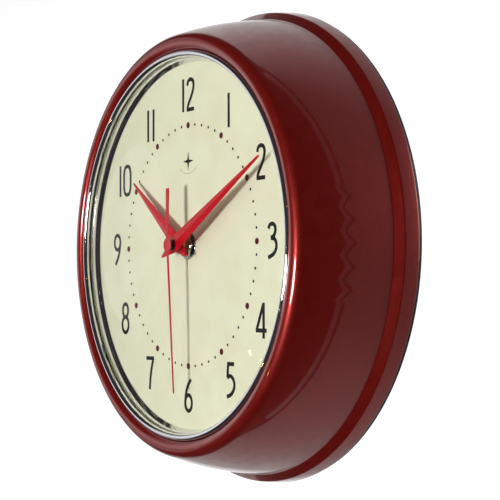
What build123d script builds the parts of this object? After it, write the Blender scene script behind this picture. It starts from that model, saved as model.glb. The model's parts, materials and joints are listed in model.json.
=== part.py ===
"""Retro wall clock: spun metal case, domed glass, printed dial, quartz movement.

Frame: Y is the clock's axis. The wall plane is Y = 0 and the front faces -Y, with +Z up and
+X to the right of a person who looks at the dial. Heights below are measured from the wall
plane towards that person, so a point at height h has Y = -h. Lengths are in millimetres.
"""

import os
from math import cos, radians, sin, sqrt

from build123d import *

os.makedirs("parts", exist_ok=True)

# ---------------------------------------------------------------- driving dimensions
CASE_DIAMETER = 241.0  # a nominal nine and a half inch clock
SHEET = 1.0  # thickness of the spun case
DIAL_FACE = 48.5
DIAL_THICKNESS = 0.5
DIAL_RADIUS = 97.5
DIAL_OPENING = 91.2  # radius of the dial that stays in sight
BEZEL_RADIUS = 92.9  # inner edge of the chrome bezel
LENS_APEX = 71.0
LENS_THICKNESS = 1.2
COVER_POST_RADIUS = 95.0  # circle of the four posts and their screws
WELL_RADIUS = 50.0  # round well in the back, around the movement
WELL_FLOOR = 31.4
HANGER_Z = 84.0  # centre of the keyhole's entry hole
MOVEMENT_SIZE = 56.0
MOVEMENT_FRONT = 47.4
MOVEMENT_BACK = 31.4
HOUSING_SPLIT = 38.0
HOUSING_WALL = 1.2
RUNNING = 0.06  # radial clearance of the turning fits

# hands: angle clockwise from twelve, height of the hub, and how far the tip hangs lower
HOUR_ANGLE, HOUR_HEIGHT, HOUR_DROOP = 305.2, DIAL_FACE + 5.9, 2.0
MINUTE_ANGLE, MINUTE_HEIGHT, MINUTE_DROOP = 62.0, DIAL_FACE + 8.8, 1.35
SECOND_ANGLE, SECOND_HEIGHT, SECOND_DROOP = 178.0, DIAL_FACE + 12.4, 2.2
HOUR_LENGTH, HOUR_TAIL = 59.5, 9.8
MINUTE_LENGTH, MINUTE_TAIL = 82.0, 12.2
SECOND_LENGTH, SECOND_TAIL = 73.0, 28.0
HAND_HALF_WIDTH = 4.2
HAND_THICKNESS = 0.5
TIP_HALF_WIDTH, TAIL_HALF_WIDTH = 0.6, 0.5
COLLET_DEPTH = 0.7
HOUR_COLLET_RADIUS, MINUTE_COLLET_RADIUS = 3.4, 2.6

# shafts and tubes on the clock's axis
ARBOR_RADIUS = 0.5
CANNON_RADIUS = 1.5
HOUR_TUBE_RADIUS = 2.5
BUSH_RADIUS = 4.0
NUT_ACROSS_FLATS = 10.6

# gears: teeth and module. Every pair with one module meshes.
ROTOR_TEETH, INTERMEDIATE_TEETH, ROTOR_MODULE = 8, 48, 0.3
DRIVE_TEETH, SECOND_TEETH, DRIVE_MODULE = 8, 40, 0.4
SECOND_PINION_TEETH, THIRD_TEETH, THIRD_MODULE = 8, 60, 9.0 * 2 / 68
THIRD_PINION_TEETH, CENTRE_TEETH, CENTRE_MODULE = 8, 64, 0.25
CANNON_TEETH, WORK_TEETH, WORK_MODULE = 10, 30, 0.4
WORK_PINION_TEETH, HOUR_TEETH, HOUR_MODULE = 10, 40, 0.32
SETTING_TEETH = 10

# the revolved outlines are drawn in this plane as (radius, height)
SECTION = Plane(origin=(0, 0, 0), x_dir=(1, 0, 0), z_dir=(0, 0, -1))


def front_plane(height):
    """The plane at a height above the wall. Its x is X, its y is Z and it faces the viewer."""
    return Plane.XZ.offset(height)


def finish(piece, name):
    """Names a finished piece and writes it to its own file."""
    piece.part.label = name
    export_step(piece.part, f"parts/{name}.step")


def ring(inner, outer, low, high):
    """A plain ring about the clock's axis."""
    with BuildPart() as made:
        with BuildSketch(front_plane(low)):
            Circle(outer)
            if inner > 0:
                Circle(inner, mode=Mode.SUBTRACT)
        extrude(amount=high - low)
    return made.part


def pressed_ring(path_points, radii, thickness, side):
    """A sheet-metal ring: a bent path of (radius, height) points, given a thickness to one side."""
    with BuildPart() as made:
        with BuildSketch(SECTION):
            with BuildLine():
                path = FilletPolyline(*path_points, radius=radii)
                offset(path, amount=thickness, side=side, closed=True)
            make_face()
        revolve(axis=Axis.Y)
    return made.part


def centre_at(start, distance, degrees):
    """A point at a distance from start, in the direction given anticlockwise from X."""
    return (
        start[0] + distance * cos(radians(degrees)),
        start[1] + distance * sin(radians(degrees)),
    )


# ---------------------------------------------------------------- case and front
FLANGE_RADIUS = CASE_DIAMETER / 2
REAR_LIP = 1.6  # height of the shell's turned-in rear edge
GROOVE_HEIGHT = 15.2  # where the bell rises out of the groove behind it
LOWER_BELL = (111.4, 35.0)  # the bell is three tangent arcs that meet at these points
UPPER_BELL = (104.9, 55.0)
BELL_LEAN = 7.5  # degrees by which the bell leans inwards at the groove
CREST = (99.2, 58.2)  # front of the red rim, where it starts to curl inwards
LIP_EDGE = (96.5, 55.9)  # the curled lip's free edge, just over the bezel's flange

with BuildPart() as case_shell:
    with BuildSketch(SECTION):
        with BuildLine():
            flange = FilletPolyline(
                (117.4, REAR_LIP),
                (FLANGE_RADIUS, REAR_LIP),
                (119.3, 9.4),
                (115.45, 13.0),
                (115.16, GROOVE_HEIGHT),
                radius=[0.9, 1.2, 1.2],
            )
            lean = (-sin(radians(BELL_LEAN)), cos(radians(BELL_LEAN)))
            lower = TangentArc(flange @ 1, LOWER_BELL, tangent=lean)
            upper = TangentArc(lower @ 1, UPPER_BELL, tangent=lower % 1)
            front = TangentArc(upper @ 1, CREST, tangent=upper % 1)
            TangentArc(front @ 1, LIP_EDGE, tangent=front % 1)
            offset(amount=SHEET, side=Side.LEFT, closed=True)
        make_face()
    revolve(axis=Axis.Y)
finish(case_shell, "case_shell")

# The bezel's flange lies under the red lip, and its rounded crown stands up inside it.
BEZEL_SHEET = 0.6
BEZEL_FLANGE_RADIUS = 102.4
BEZEL_FLANGE_TOP = 55.4
BEZEL_SKIRT_RADIUS = LIP_EDGE[0] - 0.2
BEZEL_CROWN = (94.6, 57.4)
LENS_RIM_TOP = BEZEL_FLANGE_TOP - BEZEL_SHEET - 0.1
with BuildPart() as front_bezel:
    with BuildSketch(SECTION):
        with BuildLine():
            skirt = Polyline(
                (BEZEL_FLANGE_RADIUS, BEZEL_FLANGE_TOP),
                (BEZEL_SKIRT_RADIUS, BEZEL_FLANGE_TOP),
                (BEZEL_SKIRT_RADIUS, BEZEL_FLANGE_TOP + 0.6),
            )
            crown_end = (BEZEL_RADIUS + 0.2, BEZEL_FLANGE_TOP + 0.8)
            crown = ThreePointArc(skirt @ 1, BEZEL_CROWN, crown_end)
            Line(crown @ 1, (BEZEL_RADIUS, LENS_RIM_TOP + 0.2))
            offset(amount=BEZEL_SHEET, side=Side.LEFT, closed=True)
        make_face()
    revolve(axis=Axis.Y)
finish(front_bezel, "front_bezel")

LENS_RIM_RADIUS = 97.0
LENS_RIM_BOTTOM = LENS_RIM_TOP - LENS_THICKNESS
DOME_RADIUS = 92.4  # where the dome rises out of the flat rim
with BuildPart() as lens:
    with BuildSketch(SECTION):
        with BuildLine():
            rise = LENS_APEX - LENS_RIM_TOP
            sphere = (DOME_RADIUS**2 + rise**2) / (2 * rise)
            centre = LENS_APEX - sphere
            inner_sphere = sphere - LENS_THICKNESS
            inner_edge = sqrt(inner_sphere**2 - (LENS_RIM_BOTTOM - centre) ** 2)
            half = radians(8)
            ThreePointArc(
                (0, LENS_APEX),
                (sphere * sin(half), centre + sphere * cos(half)),
                (DOME_RADIUS, LENS_RIM_TOP),
            )
            Polyline(
                (DOME_RADIUS, LENS_RIM_TOP),
                (LENS_RIM_RADIUS, LENS_RIM_TOP),
                (LENS_RIM_RADIUS, LENS_RIM_BOTTOM),
                (inner_edge, LENS_RIM_BOTTOM),
            )
            ThreePointArc(
                (inner_edge, LENS_RIM_BOTTOM),
                (inner_sphere * sin(half), centre + inner_sphere * cos(half)),
                (0, LENS_APEX - LENS_THICKNESS),
            )
            Line((0, LENS_APEX - LENS_THICKNESS), (0, LENS_APEX))
        make_face()
    revolve(axis=Axis.Y)
finish(lens, "lens")

GASKET_THICKNESS = 0.5
REFLECTOR_TOP = LENS_RIM_BOTTOM - GASKET_THICKNESS
REFLECTOR_WALL = 92.7  # radius of the upright part of the reflector's inner wall
with BuildPart() as lens_gasket:
    add(ring(REFLECTOR_WALL + 0.3, LENS_RIM_RADIUS, REFLECTOR_TOP, LENS_RIM_BOTTOM))
finish(lens_gasket, "lens_gasket")

# The reflector is a chromed channel: a sloping inner wall, a flat top and an outer skirt.
REFLECTOR_SHEET = 0.6
REFLECTOR_SKIRT = 98.5
REFLECTOR_SHOULDER = 51.2  # height at which the sloping wall turns upright
CARRIER_TOP = DIAL_FACE - DIAL_THICKNESS
with BuildPart() as reflector_ring:
    add(
        pressed_ring(
            [
                (DIAL_OPENING, DIAL_FACE),
                (DIAL_OPENING, DIAL_FACE + 0.5),
                (REFLECTOR_WALL, REFLECTOR_SHOULDER),
                (REFLECTOR_WALL, REFLECTOR_TOP),
                (REFLECTOR_SKIRT, REFLECTOR_TOP),
                (REFLECTOR_SKIRT, CARRIER_TOP),
            ],
            [0.3, 0.5, 0.2, 0.8],
            REFLECTOR_SHEET,
            Side.RIGHT,
        )
    )
finish(reflector_ring, "reflector_ring")

with BuildPart() as dial_plate:
    add(ring(BUSH_RADIUS + 0.1, DIAL_RADIUS, DIAL_FACE - DIAL_THICKNESS, DIAL_FACE))
finish(dial_plate, "dial_plate")

# ---------------------------------------------------------------- carrier and back
POST_RADIUS = 4.5
SCREW_RADIUS = 1.3
SCREW_LENGTH = 12.0
CARRIER_RING = (88.0, 101.0)  # inner and outer radius of the flat ring under the dial
CARRIER_THICKNESS = 2.4
CARRIER_RIB = (89.0, 91.0)  # a rib behind the ring, around its inner edge
CARRIER_RIB_DEPTH = 4.0
COVER_FACE = 4.2  # rear face of the cover's plate
COVER_PLATE = 2.0
with BuildPart() as dial_carrier:
    with BuildSketch(front_plane(CARRIER_TOP)):
        Circle(CARRIER_RING[1])
        Circle(CARRIER_RING[0], mode=Mode.SUBTRACT)
    extrude(amount=-CARRIER_THICKNESS)
    with BuildSketch(front_plane(CARRIER_TOP - CARRIER_THICKNESS)):
        Circle(CARRIER_RIB[1])
        Circle(CARRIER_RIB[0], mode=Mode.SUBTRACT)
    extrude(amount=-CARRIER_RIB_DEPTH)
    with BuildSketch(front_plane(COVER_FACE + COVER_PLATE)):
        with PolarLocations(COVER_POST_RADIUS, 4, start_angle=45):
            Circle(POST_RADIUS)
    extrude(until=Until.NEXT)
    with BuildSketch(front_plane(COVER_FACE + COVER_PLATE)):
        with PolarLocations(COVER_POST_RADIUS, 4, start_angle=45):
            Circle(SCREW_RADIUS)
    extrude(amount=SCREW_LENGTH + 2, mode=Mode.SUBTRACT)
finish(dial_carrier, "dial_carrier")

# The rear cover is a black moulding: a rim that lies on the wall, a plate set in behind it,
# and a deep round well with a square window for the movement.
COVER_RIM = (116.0, 119.6)  # inner and outer radius of the rim on the wall
WINDOW = MOVEMENT_SIZE + 1
WELL_TAPER = 2.0
WELL_FLAT = 34.0  # the well's floor starts at this radius, and a square fills it inwards
RIB_HEIGHT = 1.0
RIB_WIDTH = 1.6
RING_RIBS = (57.0, 107.0)
RADIAL_RIBS = 8
KEY_HOLE_RADIUS = 4.5
KEY_SLOT_WIDTH = 4.6
KEY_SLOT_RISE = 9.0


def keyhole(margin):
    """The keyhole's outline, grown by a margin: an entry hole with a slot above it."""
    with BuildSketch() as outline:
        Circle(KEY_HOLE_RADIUS + margin)
        with Locations((0, KEY_SLOT_RISE / 2)):
            SlotCenterToCenter(
                KEY_SLOT_RISE, KEY_SLOT_WIDTH + 2 * margin, rotation=90
            )
    return outline.sketch


with BuildPart() as rear_cover:
    with BuildSketch(SECTION):
        with BuildLine():
            Polyline(
                (COVER_RIM[1], 0),
                (COVER_RIM[1], REAR_LIP),
                (COVER_RIM[0] + 0.2, REAR_LIP),
                (COVER_RIM[0] - 1.4, COVER_FACE + COVER_PLATE),
                (WELL_RADIUS + WELL_TAPER, COVER_FACE + COVER_PLATE),
                (WELL_RADIUS, WELL_FLOOR),
                (WELL_FLAT, WELL_FLOOR),
                (WELL_FLAT, WELL_FLOOR - COVER_PLATE),
                (WELL_RADIUS - COVER_PLATE, WELL_FLOOR - COVER_PLATE),
                (WELL_RADIUS, COVER_FACE),
                (COVER_RIM[0] - 2.8, COVER_FACE),
                (COVER_RIM[0], 0),
                close=True,
            )
        make_face()
    revolve(axis=Axis.Y)
    with BuildSketch(front_plane(WELL_FLOOR - COVER_PLATE)):
        Circle(WELL_FLAT + 8)
        RectangleRounded(WINDOW, WINDOW, 3, mode=Mode.SUBTRACT)
    extrude(amount=COVER_PLATE)
    with BuildSketch(front_plane(COVER_FACE - RIB_HEIGHT)):
        for radius in RING_RIBS:
            Circle(radius + RIB_WIDTH / 2)
            Circle(radius - RIB_WIDTH / 2, mode=Mode.SUBTRACT)
            if radius == RING_RIBS[0]:
                with PolarLocations(sum(RING_RIBS) / 2, RADIAL_RIBS, start_angle=22.5):
                    Rectangle(RING_RIBS[1] - RING_RIBS[0], RIB_WIDTH)
    extrude(amount=RIB_HEIGHT)
    with BuildSketch(front_plane(COVER_FACE)):
        with PolarLocations(COVER_POST_RADIUS, 4, start_angle=45):
            Circle(SCREW_RADIUS)
        with Locations((0, HANGER_Z)):
            add(keyhole(1.4))
    extrude(amount=COVER_PLATE, mode=Mode.SUBTRACT)
finish(rear_cover, "rear_cover")

SCREW_HEAD_RADIUS = 3.0
SCREW_HEAD = 2.0
CROSS_SLOT = (3.2, 0.6)
CROSS_DEPTH = 1.1
with BuildPart() as cover_screws:
    with BuildSketch(front_plane(COVER_FACE - SCREW_HEAD)):
        with PolarLocations(COVER_POST_RADIUS, 4, start_angle=45):
            Circle(SCREW_HEAD_RADIUS)
    extrude(amount=SCREW_HEAD)
    fillet(cover_screws.faces().sort_by(Axis.Y)[-4:].edges(), 0.9)
    with BuildSketch(front_plane(COVER_FACE)):
        with PolarLocations(COVER_POST_RADIUS, 4, start_angle=45):
            Circle(SCREW_RADIUS)
    extrude(amount=SCREW_LENGTH)
    with BuildSketch(front_plane(COVER_FACE - SCREW_HEAD)):
        with PolarLocations(COVER_POST_RADIUS, 4, start_angle=45):
            Rectangle(*CROSS_SLOT)
            Rectangle(*reversed(CROSS_SLOT))
    extrude(amount=CROSS_DEPTH, mode=Mode.SUBTRACT)
finish(cover_screws, "cover_screws")

HANGER_PLATE = 1.2
HANGER_SIZE = (34.0, 24.0)
HANGER_CENTRE = (0, HANGER_Z + 2)
RIVET_SPACING = 26.0
RIVET_RADIUS = 1.6
RIVET_HEAD_RADIUS = 2.8
RIVET_HEAD = 1.2
HANGER_FACE = COVER_FACE + COVER_PLATE
with BuildPart() as hanger_plate:
    with BuildSketch(front_plane(HANGER_FACE)):
        with Locations(HANGER_CENTRE):
            RectangleRounded(*HANGER_SIZE, 3)
        with Locations((0, HANGER_Z)):
            add(keyhole(0), mode=Mode.SUBTRACT)
        with Locations(HANGER_CENTRE), GridLocations(RIVET_SPACING, 1, 2, 1):
            Circle(RIVET_RADIUS, mode=Mode.SUBTRACT)
    extrude(amount=HANGER_PLATE)
finish(hanger_plate, "hanger_plate")

with BuildPart() as hanger_rivets:
    with BuildSketch(front_plane(HANGER_FACE)):
        with Locations(HANGER_CENTRE), GridLocations(RIVET_SPACING, 1, 2, 1):
            Circle(RIVET_RADIUS)
    extrude(amount=HANGER_PLATE)
    with BuildSketch(front_plane(HANGER_FACE + HANGER_PLATE)):
        with Locations(HANGER_CENTRE), GridLocations(RIVET_SPACING, 1, 2, 1):
            Circle(RIVET_HEAD_RADIUS)
    extrude(amount=RIVET_HEAD)
    fillet(hanger_rivets.faces().sort_by(Axis.Y)[:2].edges(), 0.8)
finish(hanger_rivets, "hanger_rivets")

# ---------------------------------------------------------------- movement housing
# The places of the arbors behind the dial, as (X, Z).
THIRD_ANGLE, INTERMEDIATE_ANGLE, ROTOR_ANGLE = 150.0, 30.0, 60.0
WORK_ANGLE, SETTING_ANGLE = 90.0, 90.0
THIRD_AT = centre_at(
    (0, 0), (SECOND_PINION_TEETH + THIRD_TEETH) * THIRD_MODULE / 2, THIRD_ANGLE
)
INTERMEDIATE_AT = centre_at(
    (0, 0), (DRIVE_TEETH + SECOND_TEETH) * DRIVE_MODULE / 2, INTERMEDIATE_ANGLE
)
ROTOR_AT = centre_at(
    INTERMEDIATE_AT, (ROTOR_TEETH + INTERMEDIATE_TEETH) * ROTOR_MODULE / 2, ROTOR_ANGLE
)
WORK_AT = centre_at((0, 0), (CANNON_TEETH + WORK_TEETH) * WORK_MODULE / 2, WORK_ANGLE)
SETTING_AT = centre_at(
    WORK_AT, (SETTING_TEETH + WORK_TEETH) * WORK_MODULE / 2, SETTING_ANGLE
)

FRONT_WALL = 1.4
BASE_FLOOR = MOVEMENT_FRONT - FRONT_WALL  # inner face of the movement's front wall
COVER_FLOOR = MOVEMENT_BACK + HOUSING_WALL
INNER_SIZE = MOVEMENT_SIZE - 2 * HOUSING_WALL
BATTERY_RADIUS = 7.1
BATTERY_LENGTH = 50.2
BATTERY_Z = -19.4
BAY_TOP = -11.9  # the bay's side of the wall between battery and gears
BAY_WALL = 1.2
PIVOT_RADIUS = 0.3
PIVOT_DEPTH = 0.9
PIVOTED = [THIRD_AT, INTERMEDIATE_AT, ROTOR_AT]
WORK_POST_RADIUS = 0.7  # the minute-work wheel turns on a post of the movement's base
WORK_POST_END = 42.7  # the post's free end
HOUSING_CORNER = 2.5
INNER_CORNER = HOUSING_CORNER - HOUSING_WALL

with BuildPart() as movement_base:
    with BuildSketch(front_plane(HOUSING_SPLIT)):
        RectangleRounded(MOVEMENT_SIZE, MOVEMENT_SIZE, HOUSING_CORNER)
    extrude(amount=MOVEMENT_FRONT - HOUSING_SPLIT)
    with BuildSketch(front_plane(HOUSING_SPLIT)):
        RectangleRounded(INNER_SIZE, INNER_SIZE, INNER_CORNER)
        with Locations((0, BAY_TOP + BAY_WALL / 2)):
            Rectangle(INNER_SIZE + 1, BAY_WALL, mode=Mode.SUBTRACT)
    extrude(amount=BASE_FLOOR - HOUSING_SPLIT, mode=Mode.SUBTRACT)
    with BuildSketch(front_plane(BASE_FLOOR)):
        Circle(BUSH_RADIUS)
    extrude(amount=FRONT_WALL, mode=Mode.SUBTRACT)
    with BuildSketch(front_plane(BASE_FLOOR)):
        with Locations(*PIVOTED):
            Circle(PIVOT_RADIUS + RUNNING)
    extrude(amount=PIVOT_DEPTH, mode=Mode.SUBTRACT)
    with BuildSketch(front_plane(WORK_POST_END)):
        with Locations(WORK_AT):
            Circle(WORK_POST_RADIUS)
    extrude(amount=BASE_FLOOR - WORK_POST_END)
finish(movement_base, "movement_base")

STEM_RADIUS = 1.0
with BuildPart() as movement_cover:
    with BuildSketch(front_plane(MOVEMENT_BACK)):
        RectangleRounded(MOVEMENT_SIZE, MOVEMENT_SIZE, HOUSING_CORNER)
    extrude(amount=HOUSING_SPLIT - MOVEMENT_BACK)
    with BuildSketch(front_plane(COVER_FLOOR)):
        RectangleRounded(INNER_SIZE, INNER_SIZE, INNER_CORNER)
        with Locations((0, BAY_TOP + BAY_WALL / 2)):
            Rectangle(INNER_SIZE + 1, BAY_WALL, mode=Mode.SUBTRACT)
    extrude(amount=HOUSING_SPLIT - COVER_FLOOR, mode=Mode.SUBTRACT)
    with BuildSketch(front_plane(MOVEMENT_BACK)):
        with Locations((0, (BAY_TOP - INNER_SIZE / 2) / 2)):
            Rectangle(INNER_SIZE, BAY_TOP + INNER_SIZE / 2)
        with Locations(SETTING_AT):
            Circle(STEM_RADIUS + RUNNING)
    extrude(amount=HOUSING_WALL, mode=Mode.SUBTRACT)
    with BuildSketch(front_plane(COVER_FLOOR - PIVOT_DEPTH)):
        with Locations((0, 0), *PIVOTED):
            Circle(PIVOT_RADIUS + RUNNING)
    extrude(amount=PIVOT_DEPTH, mode=Mode.SUBTRACT)
finish(movement_cover, "movement_cover")

BUSH_HOLE = BUSH_RADIUS + 0.1
RUBBER_WASHER_RADIUS = 10.0
with BuildPart() as rubber_washer:
    add(ring(BUSH_HOLE, RUBBER_WASHER_RADIUS, MOVEMENT_FRONT, CARRIER_TOP))
finish(rubber_washer, "rubber_washer")

BUSH_TOP = DIAL_FACE + 3.6
BUSH_CHAMFER = 0.5
with BuildPart() as threaded_bush:
    add(ring(HOUR_TUBE_RADIUS + RUNNING, BUSH_RADIUS, BASE_FLOOR, BUSH_TOP))
    chamfer(threaded_bush.edges().group_by(Axis.Y)[0].sort_by(SortBy.RADIUS)[-1], BUSH_CHAMFER)
finish(threaded_bush, "threaded_bush")

WASHER_TOP = DIAL_FACE + 0.5
WASHER_RADIUS = 7.0
with BuildPart() as dial_washer:
    add(ring(BUSH_HOLE, WASHER_RADIUS, DIAL_FACE, WASHER_TOP))
finish(dial_washer, "dial_washer")

NUT_TOP = WASHER_TOP + 2.0
NUT_BEVEL = (1.2, 0.7)  # how far the bevel runs in and how deep it reaches at the corners
NUT_INRADIUS = NUT_ACROSS_FLATS / 2
with BuildPart() as hex_nut:
    with BuildSketch(front_plane(WASHER_TOP)):
        RegularPolygon(NUT_INRADIUS, 6, major_radius=False)
        Circle(BUSH_RADIUS, mode=Mode.SUBTRACT)
    extrude(amount=NUT_TOP - WASHER_TOP)
    with BuildSketch(SECTION):
        with BuildLine():
            Polyline(
                (NUT_INRADIUS, NUT_TOP),
                (NUT_INRADIUS + NUT_BEVEL[0], NUT_TOP),
                (NUT_INRADIUS + NUT_BEVEL[0], NUT_TOP - NUT_BEVEL[1]),
                close=True,
            )
        make_face()
    revolve(axis=Axis.Y, mode=Mode.SUBTRACT)
finish(hex_nut, "hex_nut")

# ---------------------------------------------------------------- gears
TIP_SHARE, ROOT_SHARE = 0.75, 1.15  # addendum and dedendum, in modules
TIP_HALF, ROOT_HALF = 0.1, 0.26  # half widths of a tooth, in pitches


def gear_outline(teeth, module, phase):
    """A gear's outline. One tooth points at phase, in degrees anticlockwise from X."""
    tip = module * (teeth / 2 + TIP_SHARE)
    root = module * (teeth / 2 - ROOT_SHARE)
    corners = []
    for tooth in range(teeth):
        for radius, share in (
            (root, -ROOT_HALF),
            (tip, -TIP_HALF),
            (tip, TIP_HALF),
            (root, ROOT_HALF),
        ):
            angle = radians(phase + (tooth + share) * 360 / teeth)
            corners.append((radius * cos(angle), radius * sin(angle)))
    with BuildSketch() as outline:
        with BuildLine():
            Polyline(*corners, close=True)
        make_face()
    return outline.sketch


def toothed(teeth, module, phase, at, low, high, bore=0.0):
    """A toothed disc between two heights, about the arbor at (X, Z)."""
    with BuildPart() as disc:
        with BuildSketch(front_plane(low)):
            with Locations(at):
                add(gear_outline(teeth, module, phase))
                if bore > 0:
                    Circle(bore, mode=Mode.SUBTRACT)
        extrude(amount=high - low)
    return disc.part


def shaft(radius, at, low, high, bore=0.0):
    """A round shaft or tube between two heights, about the arbor at (X, Z)."""
    with BuildPart() as made:
        with BuildSketch(front_plane(low)):
            with Locations(at):
                Circle(radius)
                if bore > 0:
                    Circle(bore, mode=Mode.SUBTRACT)
        extrude(amount=high - low)
    return made.part


def gap_phase(teeth, line):
    """The phase that puts a gap between teeth on the line to the gear it meshes with."""
    return line + 180 / teeth


def meshed_phase(other_teeth, other_phase, teeth, line):
    """The phase that meshes a gear with another of a known phase, which lies back along line.

    The line runs from the other gear's centre to this one's.
    """
    beyond = (line - other_phase) * other_teeth / teeth
    return line + 180 + beyond - 180 / teeth


# heights of the gear layers, from the back of the movement to its front
REAR_PIVOT = COVER_FLOOR - PIVOT_DEPTH + 0.1
FRONT_PIVOT = BASE_FLOOR + PIVOT_DEPTH - 0.1
MAGNET_LAYER = (33.3, 35.6)
ROTOR_LAYER = (36.2, 37.2)
DRIVE_LAYER = (38.5, 39.3)
THIRD_LAYER = (40.0, 40.7)
CENTRE_LAYER = (41.5, 42.2)
WORK_LAYER = (43.0, 43.7)
HOUR_LAYER = (44.6, 45.4)
PINION_OVERLAP = 0.3  # a pinion reaches this far past the wheel that it drives, at each end


def arbor(at, low, high):
    """A steel arbor with a thinner pivot at each end, from the rear pivot to the front one."""
    with BuildPart() as made:
        add(shaft(ARBOR_RADIUS, at, low, high))
        add(shaft(PIVOT_RADIUS, at, REAR_PIVOT, low))
        add(shaft(PIVOT_RADIUS, at, high, FRONT_PIVOT))
    return made.part


ARBOR_ENDS = (COVER_FLOOR + 0.2, BASE_FLOOR - 0.2)

with BuildPart() as rotor_pinion:
    add(arbor(ROTOR_AT, *ARBOR_ENDS))
    add(
        toothed(
            ROTOR_TEETH,
            ROTOR_MODULE,
            ROTOR_ANGLE + 180,
            ROTOR_AT,
            ROTOR_LAYER[0] - PINION_OVERLAP,
            ROTOR_LAYER[1] + PINION_OVERLAP,
        )
    )
finish(rotor_pinion, "rotor_pinion")

MAGNET_RADIUS = 3.0
with BuildPart() as rotor_magnet:
    add(shaft(MAGNET_RADIUS, ROTOR_AT, *MAGNET_LAYER, bore=ARBOR_RADIUS))
finish(rotor_magnet, "rotor_magnet")

with BuildPart() as intermediate_wheel:
    add(arbor(INTERMEDIATE_AT, *ARBOR_ENDS))
    add(
        toothed(
            INTERMEDIATE_TEETH,
            ROTOR_MODULE,
            gap_phase(INTERMEDIATE_TEETH, ROTOR_ANGLE),
            INTERMEDIATE_AT,
            *ROTOR_LAYER,
        )
    )
    add(
        toothed(
            DRIVE_TEETH,
            DRIVE_MODULE,
            INTERMEDIATE_ANGLE + 180,
            INTERMEDIATE_AT,
            ROTOR_LAYER[1],
            DRIVE_LAYER[1] + PINION_OVERLAP,
        )
    )
finish(intermediate_wheel, "intermediate_wheel")

SECOND_TUBE_TOP = SECOND_HEIGHT - 0.3
SECOND_TUBE_LOW = SECOND_HEIGHT - 1.9
SECOND_TUBE_RADIUS = 1.0
with BuildPart() as second_arbor:
    add(shaft(ARBOR_RADIUS, (0, 0), ARBOR_ENDS[0], SECOND_TUBE_TOP))
    add(shaft(PIVOT_RADIUS, (0, 0), REAR_PIVOT, ARBOR_ENDS[0]))
finish(second_arbor, "second_arbor")

with BuildPart() as second_wheel:
    add(
        toothed(
            SECOND_TEETH,
            DRIVE_MODULE,
            gap_phase(SECOND_TEETH, INTERMEDIATE_ANGLE),
            (0, 0),
            *DRIVE_LAYER,
            bore=ARBOR_RADIUS,
        )
    )
    add(
        toothed(
            SECOND_PINION_TEETH,
            THIRD_MODULE,
            THIRD_ANGLE,
            (0, 0),
            DRIVE_LAYER[1],
            THIRD_LAYER[1] + PINION_OVERLAP,
            bore=ARBOR_RADIUS,
        )
    )
finish(second_wheel, "second_wheel")

with BuildPart() as third_wheel:
    add(arbor(THIRD_AT, *ARBOR_ENDS))
    add(
        toothed(
            THIRD_TEETH,
            THIRD_MODULE,
            gap_phase(THIRD_TEETH, THIRD_ANGLE + 180),
            THIRD_AT,
            *THIRD_LAYER,
        )
    )
    add(
        toothed(
            THIRD_PINION_TEETH,
            CENTRE_MODULE,
            THIRD_ANGLE + 180,
            THIRD_AT,
            THIRD_LAYER[1],
            CENTRE_LAYER[1] + PINION_OVERLAP,
        )
    )
finish(third_wheel, "third_wheel")

CANNON_LOW = CENTRE_LAYER[0] - 0.2
CANNON_TOP = MINUTE_HEIGHT + 1.0
CANNON_BORE = ARBOR_RADIUS + RUNNING
with BuildPart() as centre_wheel:
    add(
        toothed(
            CENTRE_TEETH,
            CENTRE_MODULE,
            gap_phase(CENTRE_TEETH, THIRD_ANGLE),
            (0, 0),
            *CENTRE_LAYER,
            bore=CANNON_RADIUS,
        )
    )
finish(centre_wheel, "centre_wheel")

with BuildPart() as cannon_pinion:
    add(shaft(CANNON_RADIUS, (0, 0), CANNON_LOW, CANNON_TOP, bore=CANNON_BORE))
    add(
        toothed(
            CANNON_TEETH,
            WORK_MODULE,
            WORK_ANGLE,
            (0, 0),
            CENTRE_LAYER[1],
            WORK_LAYER[1] + PINION_OVERLAP,
            bore=CANNON_BORE,
        )
    )
finish(cannon_pinion, "cannon_pinion")

WORK_PHASE = gap_phase(WORK_TEETH, WORK_ANGLE + 180)
WORK_BORE = WORK_POST_RADIUS + RUNNING
with BuildPart() as minute_work_wheel:
    add(
        toothed(
            WORK_TEETH, WORK_MODULE, WORK_PHASE, WORK_AT, *WORK_LAYER, bore=WORK_BORE
        )
    )
    add(
        toothed(
            WORK_PINION_TEETH,
            HOUR_MODULE,
            WORK_ANGLE + 180,
            WORK_AT,
            WORK_LAYER[1],
            HOUR_LAYER[1] + 0.2,
            bore=WORK_BORE,
        )
    )
finish(minute_work_wheel, "minute_work_wheel")

HOUR_TUBE_TOP = HOUR_HEIGHT + 0.2
HOUR_BORE = CANNON_RADIUS + RUNNING
with BuildPart() as hour_wheel:
    add(
        toothed(
            HOUR_TEETH,
            HOUR_MODULE,
            gap_phase(HOUR_TEETH, WORK_ANGLE),
            (0, 0),
            *HOUR_LAYER,
            bore=HOUR_BORE,
        )
    )
    add(shaft(HOUR_TUBE_RADIUS, (0, 0), HOUR_LAYER[0], HOUR_TUBE_TOP, bore=HOUR_BORE))
finish(hour_wheel, "hour_wheel")

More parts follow.
